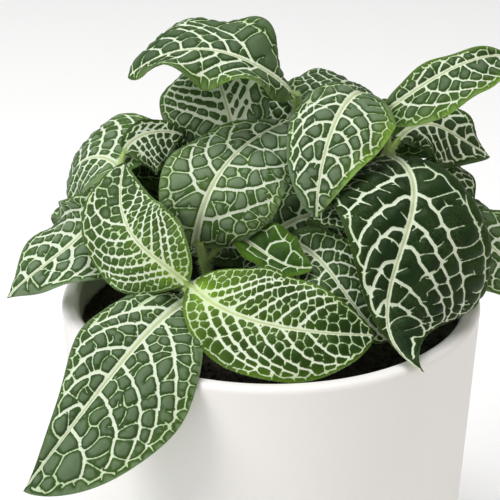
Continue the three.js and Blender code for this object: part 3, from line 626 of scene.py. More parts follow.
class Blade:
    """The bent and waved surface of one leaf, over u along the midrib and s across it."""

    # Where along the midrib the droop near the base starts to pass to the tip's, and over how much.
    TIP_BEND_START = 0.55
    TIP_BEND_RUN = 0.4

    # How far the corners of the base reach back beside the stalk, as a share of the width.
    HEART = 0.05

    def __init__(self, values):
        self.width = values.get("width", 30)
        self.share = np.array(values.get("share", (1, 1)), float)
        self.face = values.get("face", (0, 0, 1))
        self.tip_face = values.get("tip_face", self.face)
        self.droop = values.get("droop", (30, 30))
        self.tip_droop = values.get("tip_droop", self.droop)
        self.fold = math.radians(values.get("fold", 10))
        self.base_round = np.array(values.get("base_round", (0.5, 0.5)), float)
        self.tip_round = np.array(values.get("tip_round", (0.85, 0.85)), float)
        self.wave = values.get("wave", 1)
        self.waves = values.get("waves", 2.5)
        self.phase = np.array(values.get("phase", (0.37, 0)), float)
        self.rib = np.array(values["rib"], float)
        self.length = np.linalg.norm(np.diff(self.rib_at(np.linspace(0, 1, 80)), axis=0), axis=1).sum()

    def rib_at(self, u):
        """The midrib: the cubic through the four places."""
        u = np.asarray(u, float)[..., None]
        a, b, c, d = self.rib
        return (-4.5 * (u - 1 / 3) * (u - 2 / 3) * (u - 1) * a + 13.5 * u * (u - 2 / 3) * (u - 1) * b
                - 13.5 * u * (u - 1 / 3) * (u - 1) * c + 4.5 * u * (u - 1 / 3) * (u - 2 / 3) * d)

    def directions_at(self, u):
        """Along the midrib, out of the upper face and across to the right."""
        u = np.asarray(u, float)
        along = unit(self.rib_at(u + 0.001) - self.rib_at(u - 0.001))
        looks = unit(unit(self.face) * (1 - u[..., None]) + unit(self.tip_face) * u[..., None])
        out = unit(looks - (looks * along).sum(-1, keepdims=True) * along)
        return along, out, np.cross(along, out)

    def half_width(self, u, right):
        """Length of the blade's section from midrib to margin; right is 1 there and 0 on the left."""
        u = np.clip(u, 0, 1)
        a = self.base_round[right]
        b = self.tip_round[right]
        widest = a / (a + b)
        outline = u ** a * (1 - u) ** b / (widest ** a * (1 - widest) ** b)
        return self.width / 2 * self.share[right] * outline

    def surface(self, u, s):
        """Places and outward directions on the middle of the blade's thickness."""
        right = (s >= 0).astype(int)
        sign = np.where(s < 0, -1.0, 1.0)
        reach = np.abs(s)
        along, out, across = self.directions_at(u)
        t = np.clip((u - self.TIP_BEND_START) / self.TIP_BEND_RUN, 0, 1)
        t = t * t * (3 - 2 * t)
        droop = np.array(self.droop, float)[right] * (1 - t) + np.array(self.tip_droop, float)[right] * t
        bend = np.radians(droop) / (self.width / 2)
        slope = self.fold - bend * reach * self.half_width(u, right)
        lateral = (math.sin(self.fold) - np.sin(slope)) / bend
        height = (np.cos(slope) - math.cos(self.fold)) / bend
        ripple = (self.wave * reach ** 2 * np.sqrt(np.sin(np.pi * np.clip(u, 0, 1)))
                  * np.sin(2 * np.pi * (self.waves * u + self.phase[right])))
        back = self.HEART * self.width * reach ** 1.5 * (1 - u) ** 4
        places = (self.rib_at(u) + across * (sign * lateral)[..., None]
                  + out * (height + ripple)[..., None] - along * back[..., None])
        normals = out * np.cos(slope)[..., None] - across * (sign * np.sin(slope))[..., None]
        return places, normals

    def holds(self, points, gap):
        """Which places of the flattened plane lie on the blade, clear of its margin by a gap."""
        u = points[:, 0] / self.length
        right = (points[:, 1] >= 0).astype(int)
        return (u > 0.003) & (u < 0.997) & (np.abs(points[:, 1]) < self.half_width(u, right) - gap)

    def coordinates(self, points):
        """u and s at places of the flattened plane, and how far in from the margin they lie."""
        u = np.clip(points[:, 0] / self.length, 0, 1)
        right = (points[:, 1] >= 0).astype(int)
        half = self.half_width(u, right)
        s = np.clip(points[:, 1] / np.maximum(half, 0.05), -1, 1)
        gap = np.maximum(half - np.abs(points[:, 1]), 0)
        return u, s, np.minimum(gap, 60 * np.minimum(u, 1 - u))


def circle_centre(a, b, c):
    """Centre of the circle through three places in a plane, or None where they line up."""
    d = 2 * (a[0] * (b[1] - c[1]) + b[0] * (c[1] - a[1]) + c[0] * (a[1] - b[1]))
    if abs(d) < 1e-9:
        return None
    return np.array([
        ((a @ a) * (b[1] - c[1]) + (b @ b) * (c[1] - a[1]) + (c @ c) * (a[1] - b[1])) / d,
        ((a @ a) * (c[0] - b[0]) + (b @ b) * (a[0] - c[0]) + (c @ c) * (b[0] - a[0])) / d])


VEINS = ("midrib", "side", "fine", "thorn")
MAIN_VEINS = ("midrib", "side")

# Bands of seeds that lie between no two side veins: the strip at the margin, and off the blade.
MARGIN = -1
OUTSIDE = -2

# Junctions stay between the first two of these shares of the blade's length. Veins end at the
# third, and on their way to the margin at that share of the half width.
NEAR_BASE = 0.002
NEAR_TIP = 0.995
LAST_VEIN = 0.985

# Side veins that hug the margin reach it over this share of what is left of the blade, and
# the higher their arch, the sooner they run close to it.
LANE_RUN = 0.66
LANE_ARCH = 2.3

# The vein along the margin lies in from it by this share of a mesh, and by so many mm at most.
LOOP_INSET = 0.36
LOOP_INSET_MOST = 1.5

# Distances in millimetres: between the points of a vein, its shortest piece, its least half width.
VEIN_STEP = 0.95
VEIN_LEAST = 0.08
VEIN_HALF_LEAST = 0.07


class VeinNet:
    """The veins of one blade in its flattened plane: x along the midrib, y across, in mm.

    Seeds are set out in rows between the side veins. The borders of the cells round them are
    the fine veins, and where a border parts two bands it lies on the side vein between them.
    A seed's label is its side and its band, counted from the base.
    """

    def __init__(self, blade, look, rng):
        self.blade = blade
        self.look = look
        self.rng = rng
        self.hugs = look["hugs"]
        count = look["count"]
        spacing = 1.15 if self.hugs else 0.95
        self.starts = []
        self.sweeps = []
        for right in (0, 1):
            steps = (np.arange(count) + 0.15 + 0.4 * right + rng.uniform(-0.08, 0.08, count)) / count
            starts = 0.02 + look["spread"] * np.clip(steps, 0, None) ** spacing
            ends = 1 - (1 - look["sweep"][right]) * (1 - starts) ** 1.8
            self.starts.append(starts)
            self.sweeps.append((ends - starts) * rng.uniform(0.95, 1.05, count))
        self.pieces = []
        self.build()

    def curves(self, right, s):
        """Where the side veins cross the share s of the half width, with the blade's ends."""
        s = np.asarray(s, float)
        arch = self.look["arch"]
        rise = (arch * s + (1 - arch) * s ** 3)[None, :]
        inner = self.starts[right][:, None] + self.sweeps[right][:, None] * rise
        low = np.full_like(s, -0.06)[None, :]
        high = np.full_like(s, 1.02)[None, :]
        return np.concatenate([low, np.minimum(inner, LAST_VEIN), high])

    def lane(self, right, vein, u):
        """Share of the half width at which a side vein runs that arches up along the margin."""
        start = self.starts[right][vein]
        t = np.clip((u - start) / (LANE_RUN * (1 - start) ** 0.6), 0, 1)
        return self.loop_share(u, right) * (1 - (1 - t) ** LANE_ARCH)

    def loop_share(self, u, right):
        """Share of the half width at which the veins that run along the margin lie."""
        inset = min(LOOP_INSET * self.look["cell"], LOOP_INSET_MOST)
        return np.clip(1 - inset / np.maximum(self.blade.half_width(u, right), 1e-3), 0.5, 0.95)

    def off_vein(self, right, vein, u, s):
        """How far a place lies off a side vein: in u, or in s where the veins hug the margin."""
        if self.hugs:
            return s - self.lane(right, vein, u)
        return u - self.curves(right, np.atleast_1d(s))[vein + 1]

    def drawn_in(self, u, s, off):
        """The place without what it lies off its side vein."""
        return (u, s - off) if self.hugs else (u - off, s)

    def place(self, right, u, s):
        """The place in the plane at u along the midrib and the share s across."""
        return np.stack([u * self.blade.length,
                         (1 if right else -1) * s * self.blade.half_width(u, right)], -1)

    def strip_seeds(self, right, band):
        """Seeds as (u, s) along the strip between two veins that hug the margin."""
        cell = self.look["cell"]
        first = self.starts[right][band - 1] if band else 0.0
        u = np.linspace(first + 0.01, LAST_VEIN, 90)
        outer = self.loop_share(u, right) if band == 0 else self.lane(right, band - 1, u)
        inner = self.lane(right, band, u) if band < self.look["count"] else np.zeros_like(u)
        half = self.blade.half_width(u, right)
        run = run_along(u * self.blade.length, (outer + inner) / 2 * half)
        along = max(1, round(run[-1] / (cell * self.look["aspect"])))
        made = []
        for at in ((np.arange(along) + 0.5) / along) ** 1.15 * run[-1]:
            low, high, u_at, half_at = (float(np.interp(at, run, row)) for row in (inner, outer, u, half))
            thick = (high - low) * half_at
            if thick < 0.35 * cell:
                continue
            rows = max(1, round(thick / self.look["row"]))
            made += [(u_at, low + (high - low) * (row + 0.5) / rows) for row in range(rows)]
        return made

    def band_seeds(self, right, band):
        """Seeds as (u, s) in the band between two side veins, from the midrib outwards."""
        cell = self.look["cell"]
        s = np.linspace(0, 1, 60)
        curves = self.curves(right, s)
        u = np.clip(0.5 * curves[band] + 0.5 * curves[band + 1], 0, 1)
        half = self.blade.half_width(u, right)
        usable = (self.loop_share(u, right) - s) * half > 0.2 * cell
        if not usable[0]:
            return []
        run = run_along(u * self.blade.length, s * half)
        reach = run[usable][-1]
        if reach < 0.3 * cell:
            return []
        slants = np.gradient(s * half, run + 1e-9 * s)
        along = max(1, round(reach / (cell * self.look["aspect"])))
        made = []
        for at in (np.arange(along) + 0.5) / along * reach:
            rows = self.curves(right, np.array([float(np.interp(at, run, s))]))[:, 0]
            low, high = max(rows[band], 0.0), min(rows[band + 1], 1.0)
            thick = (high - low) * self.blade.length * max(np.interp(at, run, slants), 0.35)
            count = max(1, round(thick / self.look["row"]))
            for row in range(count):
                shift = (0.25 if row % 2 else -0.25) * reach / along if count > 1 else 0
                s_row = float(np.interp(at + shift, run, s))
                made.append((low + (high - low) * (row + 0.5) / count, s_row))
        return made

    def margin_seeds(self, right):
        """Seeds as (u, s, band) in pairs, inside and outside the margin."""
        u = np.linspace(0.004, 0.996, 300)
        run = run_along(u * self.blade.length, self.blade.half_width(u, right))
        count = max(6, round(run[-1] / (0.85 * self.look["cell"])))
        made = []
        for step in range(count):
            at = float(np.interp((step + 0.5) / count * run[-1], run, u))
            middle = (1 + float(self.loop_share(at, right))) / 2
            made += [(at, middle, MARGIN), (at, 2 - middle, OUTSIDE)]
        return made

    def seeds(self):
        """Places of the seeds, with their labels."""
        cell = self.look["cell"]
        inner_seeds = self.strip_seeds if self.hugs else self.band_seeds
        jitter = 0.14 if self.hugs else 0.2
        places, labels = [], []
        for right in (0, 1):
            for band in range(self.look["count"] + 1):
                for u, s in inner_seeds(right, band):
                    places.append(self.place(right, u, s) + self.rng.uniform(-jitter, jitter, 2) * cell)
                    labels.append((right, band))
            for u, s, band in self.margin_seeds(right):
                places.append(self.place(right, u, s))
                labels.append((right, band))
        for x in (-0.6 * cell, self.blade.length + cell):
            places.append(np.array([x, 0.0]))
            labels.append((0, OUTSIDE))
        least = 0.28 * cell
        for place, (right, band) in zip(places, labels):
            if band > OUTSIDE:
                place[1] = max(place[1], least) if right else min(place[1], -least)
        return np.array(places), labels

    def snapped(self, spot, around):
        """A junction moved onto the vein that the seeds round it share."""
        inner = [label for label in around if label[1] > OUTSIDE]
        if not inner:
            return None
        u = float(np.clip(spot[0] / self.blade.length, NEAR_BASE, NEAR_TIP))
        if len({label[0] for label in inner}) == 2:
            return np.array([u * self.blade.length, 0.0])
        right = inner[0][0]
        s = min(abs(spot[1]) / max(float(self.blade.half_width(u, right)), 1e-3), LAST_VEIN)
        bands = {label[1] for label in inner} - {MARGIN}
        if bands and (right, MARGIN) in inner:
            pull = 0.9 if self.hugs else 0.3
            s = (1 - pull) * s + pull * float(self.loop_share(u, right))
        if len(bands) > 1:
            off = float(np.ravel(self.off_vein(right, max(bands) - 1, u, s))[0])
            u, s = self.drawn_in(u, s, off * (1 - self.look["zigzag"]))
        return self.place(right, u, s)

    def eased(self, spots, joints, ease):
        """Junctions drawn a little towards their neighbours, so that the meshes grow rounder."""
        around = {}
        for ends in joints.values():
            if len(ends) == 2 and spots[ends[0]] is not None and spots[ends[1]] is not None:
                around.setdefault(ends[0], []).append(spots[ends[1]])
                around.setdefault(ends[1], []).append(spots[ends[0]])
        made = list(spots)
        for index, others in around.items():
            if len(others) == 3:
                made[index] = (1 - ease[index]) * spots[index] + ease[index] * np.mean(others, axis=0)
                if spots[index][1] == 0:
                    made[index][1] = 0
        return made

    def build(self):
        """Cells round the seeds give the veins: each is a run of points with half widths."""
        places, labels = self.seeds()
        made = delaunay_2d_cdt([Vector(p) for p in places], [], [], 0, 1e-6)
        corners = np.array([tuple(v) for v in made[0]])
        labels = [labels[group[0]] for group in made[3]]
        joints = {}
        spots = []
        ease = []
        for index, (i, j, k) in enumerate(made[2]):
            centre = circle_centre(corners[i], corners[j], corners[k])
            around = [labels[i], labels[j], labels[k]]
            spots.append(None if centre is None else self.snapped(centre, around))
            at_edge = centre is None or min(label[1] for label in around) == OUTSIDE
            ease.append(0 if at_edge else 0.3 if len(set(around)) == 1 else 0.1)
            if centre is not None:
                for pair in ((i, j), (j, k), (k, i)):
                    joints.setdefault(tuple(sorted(pair)), []).append(index)
        spots = self.eased(spots, joints, ease)
        for (p, q), ends in sorted(joints.items()):
            if len(ends) == 2 and spots[ends[0]] is not None and spots[ends[1]] is not None:
                self.add_border(labels[p], labels[q], spots[ends[0]], spots[ends[1]])
        length = self.blade.length
        x = np.linspace(0, LAST_VEIN * length, max(8, round(length / 0.9)))
        self.pieces.append((np.stack([x, np.zeros_like(x)], 1), self.rib_half(x / length), "midrib"))

    def add_border(self, one, two, start, end):
        """The vein on the border of two cells with these labels, from junction to junction."""
        span = np.hypot(*(end - start))
        if span < VEIN_LEAST or span > 6 * self.look["cell"]:
            return
        t = np.linspace(0, 1, max(1, round(span / VEIN_STEP)) + 1)
        run = start + (end - start) * t[:, None]
        draw = self.rng.uniform(size=4)
        if OUTSIDE in (one[1], two[1]) or one[0] != two[0]:
            return
        right = one[0]
        side, fine = self.look["widths"][1:]
        u = np.clip(run[:, 0] / self.blade.length, NEAR_BASE, NEAR_TIP)
        s = np.abs(run[:, 1]) / np.maximum(self.blade.half_width(u, right), 1e-3)
        kind = "fine"
        if one[1] != two[1] and MARGIN not in (one[1], two[1]):
            kind = "side"
            s = np.clip(s, 0, LAST_VEIN)
            off = self.off_vein(right, max(one[1], two[1]) - 1, u, s)
            u, s = self.drawn_in(u, s, off - np.interp(t, (0, 1), (off[0], off[-1])))
            run = self.place(right, u, s)
            width = side * (1 - 0.35 * s - 0.3 * s ** 4) * (1 - 0.35 * u)
        elif one[1] == two[1] == MARGIN:
            if draw[0] < 0.35:
                return
            width = fine * 0.75 * np.clip(1.25 - (s - s.min()) / (np.ptp(s) + 1e-6), 0.1, 1)
        elif MARGIN in (one[1], two[1]):
            width = np.full(len(t), fine * (0.9 + 0.6 * draw[1]))
        else:
            width = fine * (0.5 + draw[1] ** 1.5) * (1 - 0.25 * np.sin(np.pi * t))
            if draw[0] < self.look["spurs"]:
                keep = max(2, round(len(t) * 0.6))
                if draw[2] < 0.5:
                    run, width = run[::-1], width[::-1]
                run, width = run[:keep], width[:keep] * np.linspace(1.6, 0.35, keep)
        if kind == "fine" and len(run) > 2:
            normal = np.array([-(end - start)[1], (end - start)[0]])
            bow = (draw[3] - 0.5) * 0.3 * np.sin(np.pi * np.linspace(0, 1, len(run)))
            run = run + normal * bow[:, None]
        self.pieces.append((run, np.maximum(width, VEIN_HALF_LEAST), kind))
        self.add_thorns(run, width)

    def rib_half(self, u):
        """Half width of the midrib."""
        return self.look["widths"][0] * (1 - u) ** 1.1 + 0.3

    def add_thorns(self, run, width):
        """Short free ends that stand out from a vein like thorns."""
        steps = np.linalg.norm(np.diff(run, axis=0), axis=1)
        for index, step in enumerate(steps):
            if self.rng.uniform() > self.look["thorns"] * step:
                continue
            way = (run[index + 1] - run[index]) / max(step, 1e-6)
            angle = self.rng.choice((-1, 1)) * self.rng.uniform(0.9, 1.9)
            turn = np.array([[math.cos(angle), -math.sin(angle)], [math.sin(angle), math.cos(angle)]])
            start = run[index] + way * step * self.rng.uniform()
            size = width[index] + self.rng.uniform(0.4, 1.5) * min(0.25 * self.look["cell"], 1.1)
            bend = self.rng.uniform(-0.4, 0.4) * size
            share = np.linspace(0, 1, 4)[:, None]
            spur = start + turn @ way * size * share
            spur = spur + np.array([-(turn @ way)[1], (turn @ way)[0]]) * bend * share ** 2
            self.pieces.append((spur, np.linspace(0.7, 0.3, 4) * self.look["widths"][2], "thorn"))

    def segments(self, kinds):
        """Vein segments as arrays: start, end, and half width at both."""
        rows = []
        for run, width, kind in self.pieces:
            if kind in kinds:
                rows.append(np.concatenate([run[:-1], run[1:], width[:-1, None], width[1:, None]], 1))
        return np.concatenate(rows)

    def depth(self, points, kinds, softness):
        """How far each point lies inside a vein, in mm, and outside it where negative."""
        rows = self.segments(kinds)
        result = np.empty(len(points))
        for first in range(0, len(points), 400):
            part = points[first:first + 400]
            away = part[:, None, :] - rows[None, :, 0:2]
            run = rows[None, :, 2:4] - rows[None, :, 0:2]
            t = np.clip((away * run).sum(-1) / np.maximum((run * run).sum(-1), 1e-9), 0, 1)
            gap = np.linalg.norm(away - run * t[..., None], axis=-1)
            inside = rows[None, :, 4] * (1 - t) + rows[None, :, 5] * t - gap
            top = inside.max(1)
            result[first:first + 400] = top + np.log(
                np.exp(softness * (inside - top[:, None])).sum(1)) / softness
        return result


# How sharply the depths of neighbouring veins are joined, from wide soft ribs to crisp lines.
RIB_SOFTNESS = 8
UNDER_SOFTNESS = 12
CRISP_SOFTNESS = 28

# Distances between the points of a blade's faces, and how far they stay off veins and margin.
MARGIN_STEP = 0.95
GRID_STEP = 1.25
UNDER_STEP = 2.6
VEIN_SHOULDER = 0.32
RIB_SHOULDER = 1.3


def margin_points(blade):
    """The blade's outline in the flattened plane, base to tip on the right and back."""
    loop = [np.array([[0.0, 0.0]])]
    for right in (1, 0):
        u = 0.5 - 0.5 * np.cos(np.linspace(0, np.pi, 400))
        run = run_along(u * blade.length, blade.half_width(u, right))
        count = max(12, round(run[-1] / MARGIN_STEP))
        at = np.interp(np.arange(1, count) / count * run[-1], run, u)
        side = np.stack([at * blade.length, (1 if right else -1) * blade.half_width(at, right)], 1)
        if right:
            loop += [side, np.array([[blade.length, 0.0]])]
        else:
            loop.append(side[::-1])
    return np.concatenate(loop)


def thinned(groups, least):
    """All the points, without those that lie too close to an earlier one."""
    kept, taken = [], {}
    for points in groups:
        for point in points:
            cell = (round(point[0] / least), round(point[1] / least))
            near = [taken.get((cell[0] + i, cell[1] + j)) for i in (-1, 0, 1) for j in (-1, 0, 1)]
            if any(other is not None and math.dist(other, point) < least for other in near):
                continue
            taken[cell] = point
            kept.append(point)
    return np.array(kept)


def plane_grid(blade, step):
    """Places in rows and columns over the blade's flattened plane."""
    columns = np.arange(0, blade.length, step)
    rows = np.arange(-blade.width, blade.width, step)
    return np.stack(np.meshgrid(columns, rows, indexing="ij"), -1).reshape(-1, 2)


def flat_face(points, loop):
    """Points and triangles of a flat face, whose outline is the given count of leading points."""
    edges = [(i, (i + 1) % loop) for i in range(loop)]
    made = delaunay_2d_cdt([Vector(p) for p in points], edges, [], 1, 1e-5)
    return np.array([tuple(v) for v in made[0]]), np.array(made[2], int)


def upper_face(blade, net, loop, rng):
    """The upper face in the plane: dense along the veins, and even between them."""
    centres, edges = [], []
    for run, width, kind in net.pieces:
        if len(run) > 1:
            tangent = unit(np.gradient(run, axis=0))
            normal = np.stack([-tangent[:, 1], tangent[:, 0]], 1)
            centres.append(run)
            edges += [run + way * normal * (width[:, None] + VEIN_SHOULDER) for way in (-1, 1)]
    centres, edges = np.concatenate(centres), np.concatenate(edges)
    edges = edges[net.depth(edges, VEINS, CRISP_SOFTNESS) < -0.2]
    grid = plane_grid(blade, GRID_STEP)
    grid = grid + rng.uniform(-0.3, 0.3, grid.shape) * GRID_STEP
    grid = grid[blade.holds(grid, 0.5)]
    grid = grid[net.depth(grid, VEINS, CRISP_SOFTNESS) < -0.6]
    centres = centres[blade.holds(centres, 0.2)]
    edges = edges[blade.holds(edges, 0.2)]
    return flat_face(thinned([loop, centres, edges, grid], 0.22), len(loop))


def under_face(blade, net, loop):
    """The underside in the plane: points along its ribs, and wider apart between them."""
    main = [run[::2] for run, width, kind in net.pieces if kind in MAIN_VEINS]
    rib = main[-1][:, 0]
    beside = [np.stack([rib, np.full(len(rib), way * RIB_SHOULDER)], 1) for way in (-1, 1)]
    points = thinned([loop, np.concatenate(main + beside), plane_grid(blade, UNDER_STEP)], 0.9)
    keep = np.concatenate([np.ones(len(loop), bool), blade.holds(points[len(loop):], 0.8)])
    return flat_face(points[keep], len(loop))


def leaf_look(values, blade):
    """The look of a leaf's net, with finer veins and meshes on a narrow blade."""
    look = dict(NETS[values["net"]], **values.get("look", {}))
    narrow = min(1.0, blade.width / 30)
    look["cell"] *= 0.55 + 0.45 * narrow
    look["row"] *= 0.55 + 0.45 * narrow
    look["widths"] = tuple(w * (0.6 + 0.4 * narrow) for w in look["widths"])
    look["sweep"] = np.broadcast_to(look["sweep"], 2)
    return look


def leaf_parts(values):
    """One leaf: places, triangles of upper face, rim and underside, the rim's slice, and tints."""
    blade = Blade(values)
    rng = np.random.default_rng(values["seed"])
    look = leaf_look(values, blade)
    net = VeinNet(blade, look, rng)
    loop = margin_points(blade)
    flat, upper = upper_face(blade, net, loop, rng)
    under_flat, under = under_face(blade, net, loop)

    u, s, gap = blade.coordinates(flat)
    vein = net.depth(flat, VEINS, CRISP_SOFTNESS)
    ribs = net.depth(flat, MAIN_VEINS, RIB_SOFTNESS)
    rib = net.depth(flat, ("midrib",), CRISP_SOFTNESS) / net.rib_half(u)
    thread = min(0.11 / look["widths"][2], 1) * np.clip(-ribs / 0.6, 0, 1)
    puff = look["quilt"] * (1 - np.exp(np.minimum(vein, 0) / MESH_PUFF_REACH))
    puff += 0.9 * look["quilt"] * (1 - np.exp(np.minimum(ribs, 0) / BAND_PUFF_REACH))
    lift = MARGIN_HALF + (1 - np.exp(-gap / MARGIN_FADE)) * (BLADE_HALF - MARGIN_HALF + puff)
    places, normals = blade.surface(u, s)
    top = places + normals * lift[:, None]

    under_u, under_s, under_gap = blade.coordinates(under_flat)
    under_vein = net.depth(under_flat, MAIN_VEINS, UNDER_SOFTNESS)
    swell = RIB_SWELL * np.exp(-np.maximum(-under_vein, 0) / 0.5)
    drop = MARGIN_HALF + (1 - np.exp(-under_gap / MARGIN_FADE)) * (BLADE_HALF - MARGIN_HALF + swell)
    places, normals = blade.surface(under_u, under_s)
    bottom = places - normals * drop[:, None]

    count = len(top)
    wall = []
    for i in range(len(loop)):
        after = (i + 1) % len(loop)
        wall += [(i, count + after, after), (i, count + i, count + after)]
    triangles = np.concatenate([upper[:, ::-1], np.array(wall)[:, ::-1], under + count])
    rim = slice(len(upper), len(upper) + len(wall))

    lime_u = np.concatenate([u, under_u])
    lime_s = np.concatenate([s, under_s])
    margin = np.where(lime_s < 0, look["lime_margin"][0], look["lime_margin"][1])
    none_below = np.zeros(len(under_vein))
    tints = {
        "vein": np.concatenate([vein, under_vein]),
        "rib": np.concatenate([rib, none_below]),
        "fine": np.concatenate([thread, none_below]),
        "lime": (look["lime_base"] * np.exp(-lime_u / LIME_REACH) * np.exp(-np.abs(lime_s) / 0.5)
                 + margin * np.clip(np.abs(lime_s), 0, 1) ** 5),
        "shade": np.full(len(lime_u), look["shade"]),
        "painted_sheen": np.full(len(lime_u), look["painted_sheen"]),
        "plane": np.pad(np.concatenate([flat, under_flat]), ((0, 0), (0, 1))),
    }
    return np.concatenate([top, bottom]), triangles, rim, tints


def smooth_route(points, shares):
    """Centripetal curve through the points, as the solid stems follow."""
    points = np.array(points, float)
    last = len(points) - 1
    made = []
    for share in shares:
        place = min(share, 1) * last
        index = min(int(place), last - 1)
        weight = place - index
        p1, p2 = points[index], points[index + 1]
        p0 = points[index - 1] if index > 0 else 2 * p1 - p2
        p3 = points[index + 2] if index + 2 <= last else 2 * p2 - p1
        d0, d1, d2 = (max(np.linalg.norm(b - a) ** 0.5, 1e-4) for a, b in ((p0, p1), (p1, p2), (p2, p3)))
        t1 = ((p1 - p0) / d0 - (p2 - p0) / (d0 + d1) + (p2 - p1) / d1) * d1
        t2 = ((p2 - p1) / d1 - (p3 - p1) / (d1 + d2) + (p3 - p2) / d2) * d1
        made.append(p1 + t1 * weight + (-3 * p1 + 3 * p2 - 2 * t1 - t2) * weight ** 2
                    + (2 * p1 - 2 * p2 + t1 + t2) * weight ** 3)
    return np.array(made)


def tube_parts(centres, radii, sides=12):
    """Places and triangles of a round rod with closed ends."""
    along = unit(np.gradient(centres, axis=0))
    side = unit(np.cross(along, np.where(np.abs(along[:, 2:3]) > 0.9, (0.0, 1.0, 0.0), (0.0, 0.0, 1.0))))
    for i in range(1, len(side)):
        side[i] = unit(side[i - 1] - (side[i - 1] @ along[i]) * along[i])
    other = np.cross(along, side)
    angles = 2 * np.pi * np.arange(sides) / sides
    turns = angles[None, :, None]
    spokes = np.cos(turns) * side[:, None, :] + np.sin(turns) * other[:, None, :]
    rings = centres[:, None, :] + radii[:, None, None] * spokes
    places = rings.reshape(-1, 3)
    triangles = []
    for ring in range(len(centres) - 1):
        for i in range(sides):
            a, b = ring * sides + i, ring * sides + (i + 1) % sides
            triangles += [(a, b, b + sides), (a, b + sides, a + sides)]
    top = (len(centres) - 1) * sides
    for i in range(1, sides - 1):
        triangles += [(0, i + 1, i), (top, top + i, top + i + 1)]
    return places, np.array(triangles)


# What each corner of a leaf carries for its colour, and the skin that hairs grow on.
TINTS = ("vein", "rib", "fine", "lime", "shade", "painted_sheen")
hairy = {"stalk_hairs": [], "margin_hairs": []}


def leafy_stem_mesh(plan):
    """One mesh of stem, stalks and blades, with a material number for each triangle."""
    foot = plan["foot"]
    route = [(*foot, SOIL_TOP - HOLE_DEPTH + FOOT_GAP), (*foot, SOIL_TOP + 2), *plan["path"]]
    parts = []

    def add_tube(centres, radii):
        places, triangles = tube_parts(centres, radii)
        blank = np.zeros(len(places))
        tints = dict({name: blank for name in TINTS}, vein=blank - 1, rib=blank - 1,
                     plane=np.zeros((len(places), 3)))
        parts.append((places, triangles, np.full(len(triangles), 2), tints))
        hairy["stalk_hairs"].append(places[triangles])

    shares = np.linspace(0, 1, STEM_RINGS)
    radii = STEM_RADIUS + (STEM_TIP_RADIUS - STEM_RADIUS) * shares
    for leaf in plan["leaves"]:
        radii = radii + JOINT_SWELL * np.exp(-((shares - leaf["fork"]) / JOINT_REACH) ** 2)
    add_tube(smooth_route(route, shares), radii)
    for leaf in plan["leaves"]:
        places, triangles, rim, tints = leaf_parts(leaf)
        parts.append((places, triangles, np.where(np.arange(len(triangles)) < rim.stop, 0, 1), tints))
        hairy["margin_hairs"].append(places[triangles[rim]])
        blade = Blade(leaf)
        keel = [blade.rib_at(u) - 0.5 * blade.directions_at(np.array(u))[1] for u in (0.0, 0.14)]
        stalk_shares = np.linspace(0, 1, STALK_RINGS)
        stalk = smooth_route([smooth_route(route, [leaf["fork"]])[0], *keel], stalk_shares)
        add_tube(stalk, PETIOLE_RADIUS * (1 - STALK_TAPER * stalk_shares))
    mesh = bpy.data.meshes.new(f"leafy_stem_{plan['name']}_detailed")
    places = np.concatenate([part[0] for part in parts]) * MM
    offsets = np.cumsum([0] + [len(part[0]) for part in parts])
    triangles = np.concatenate([part[1] + offset for part, offset in zip(parts, offsets)])
    mesh.from_pydata(places.tolist(), [], triangles.tolist())
    numbers = np.concatenate([part[2] for part in parts])
    mesh.polygons.foreach_set("material_index", numbers.astype(np.int32))
    for name in TINTS:
        values = np.concatenate([part[3][name] for part in parts])
        attribute = mesh.attributes.new(name, "FLOAT", "POINT")
        attribute.data.foreach_set("value", values.astype(np.float32))
    values = np.concatenate([part[3]["plane"] for part in parts])
    attribute = mesh.attributes.new("plane", "FLOAT_VECTOR", "POINT")
    attribute.data.foreach_set("vector", values.ravel().astype(np.float32))
    mesh.shade_smooth()
    return mesh


def read_attribute(tree, name):
    """A value that the mesh carries at its corners."""
    made = add_node(tree, "ShaderNodeAttribute", attribute_name=name, attribute_type="GEOMETRY")
    return made.outputs["Fac"]


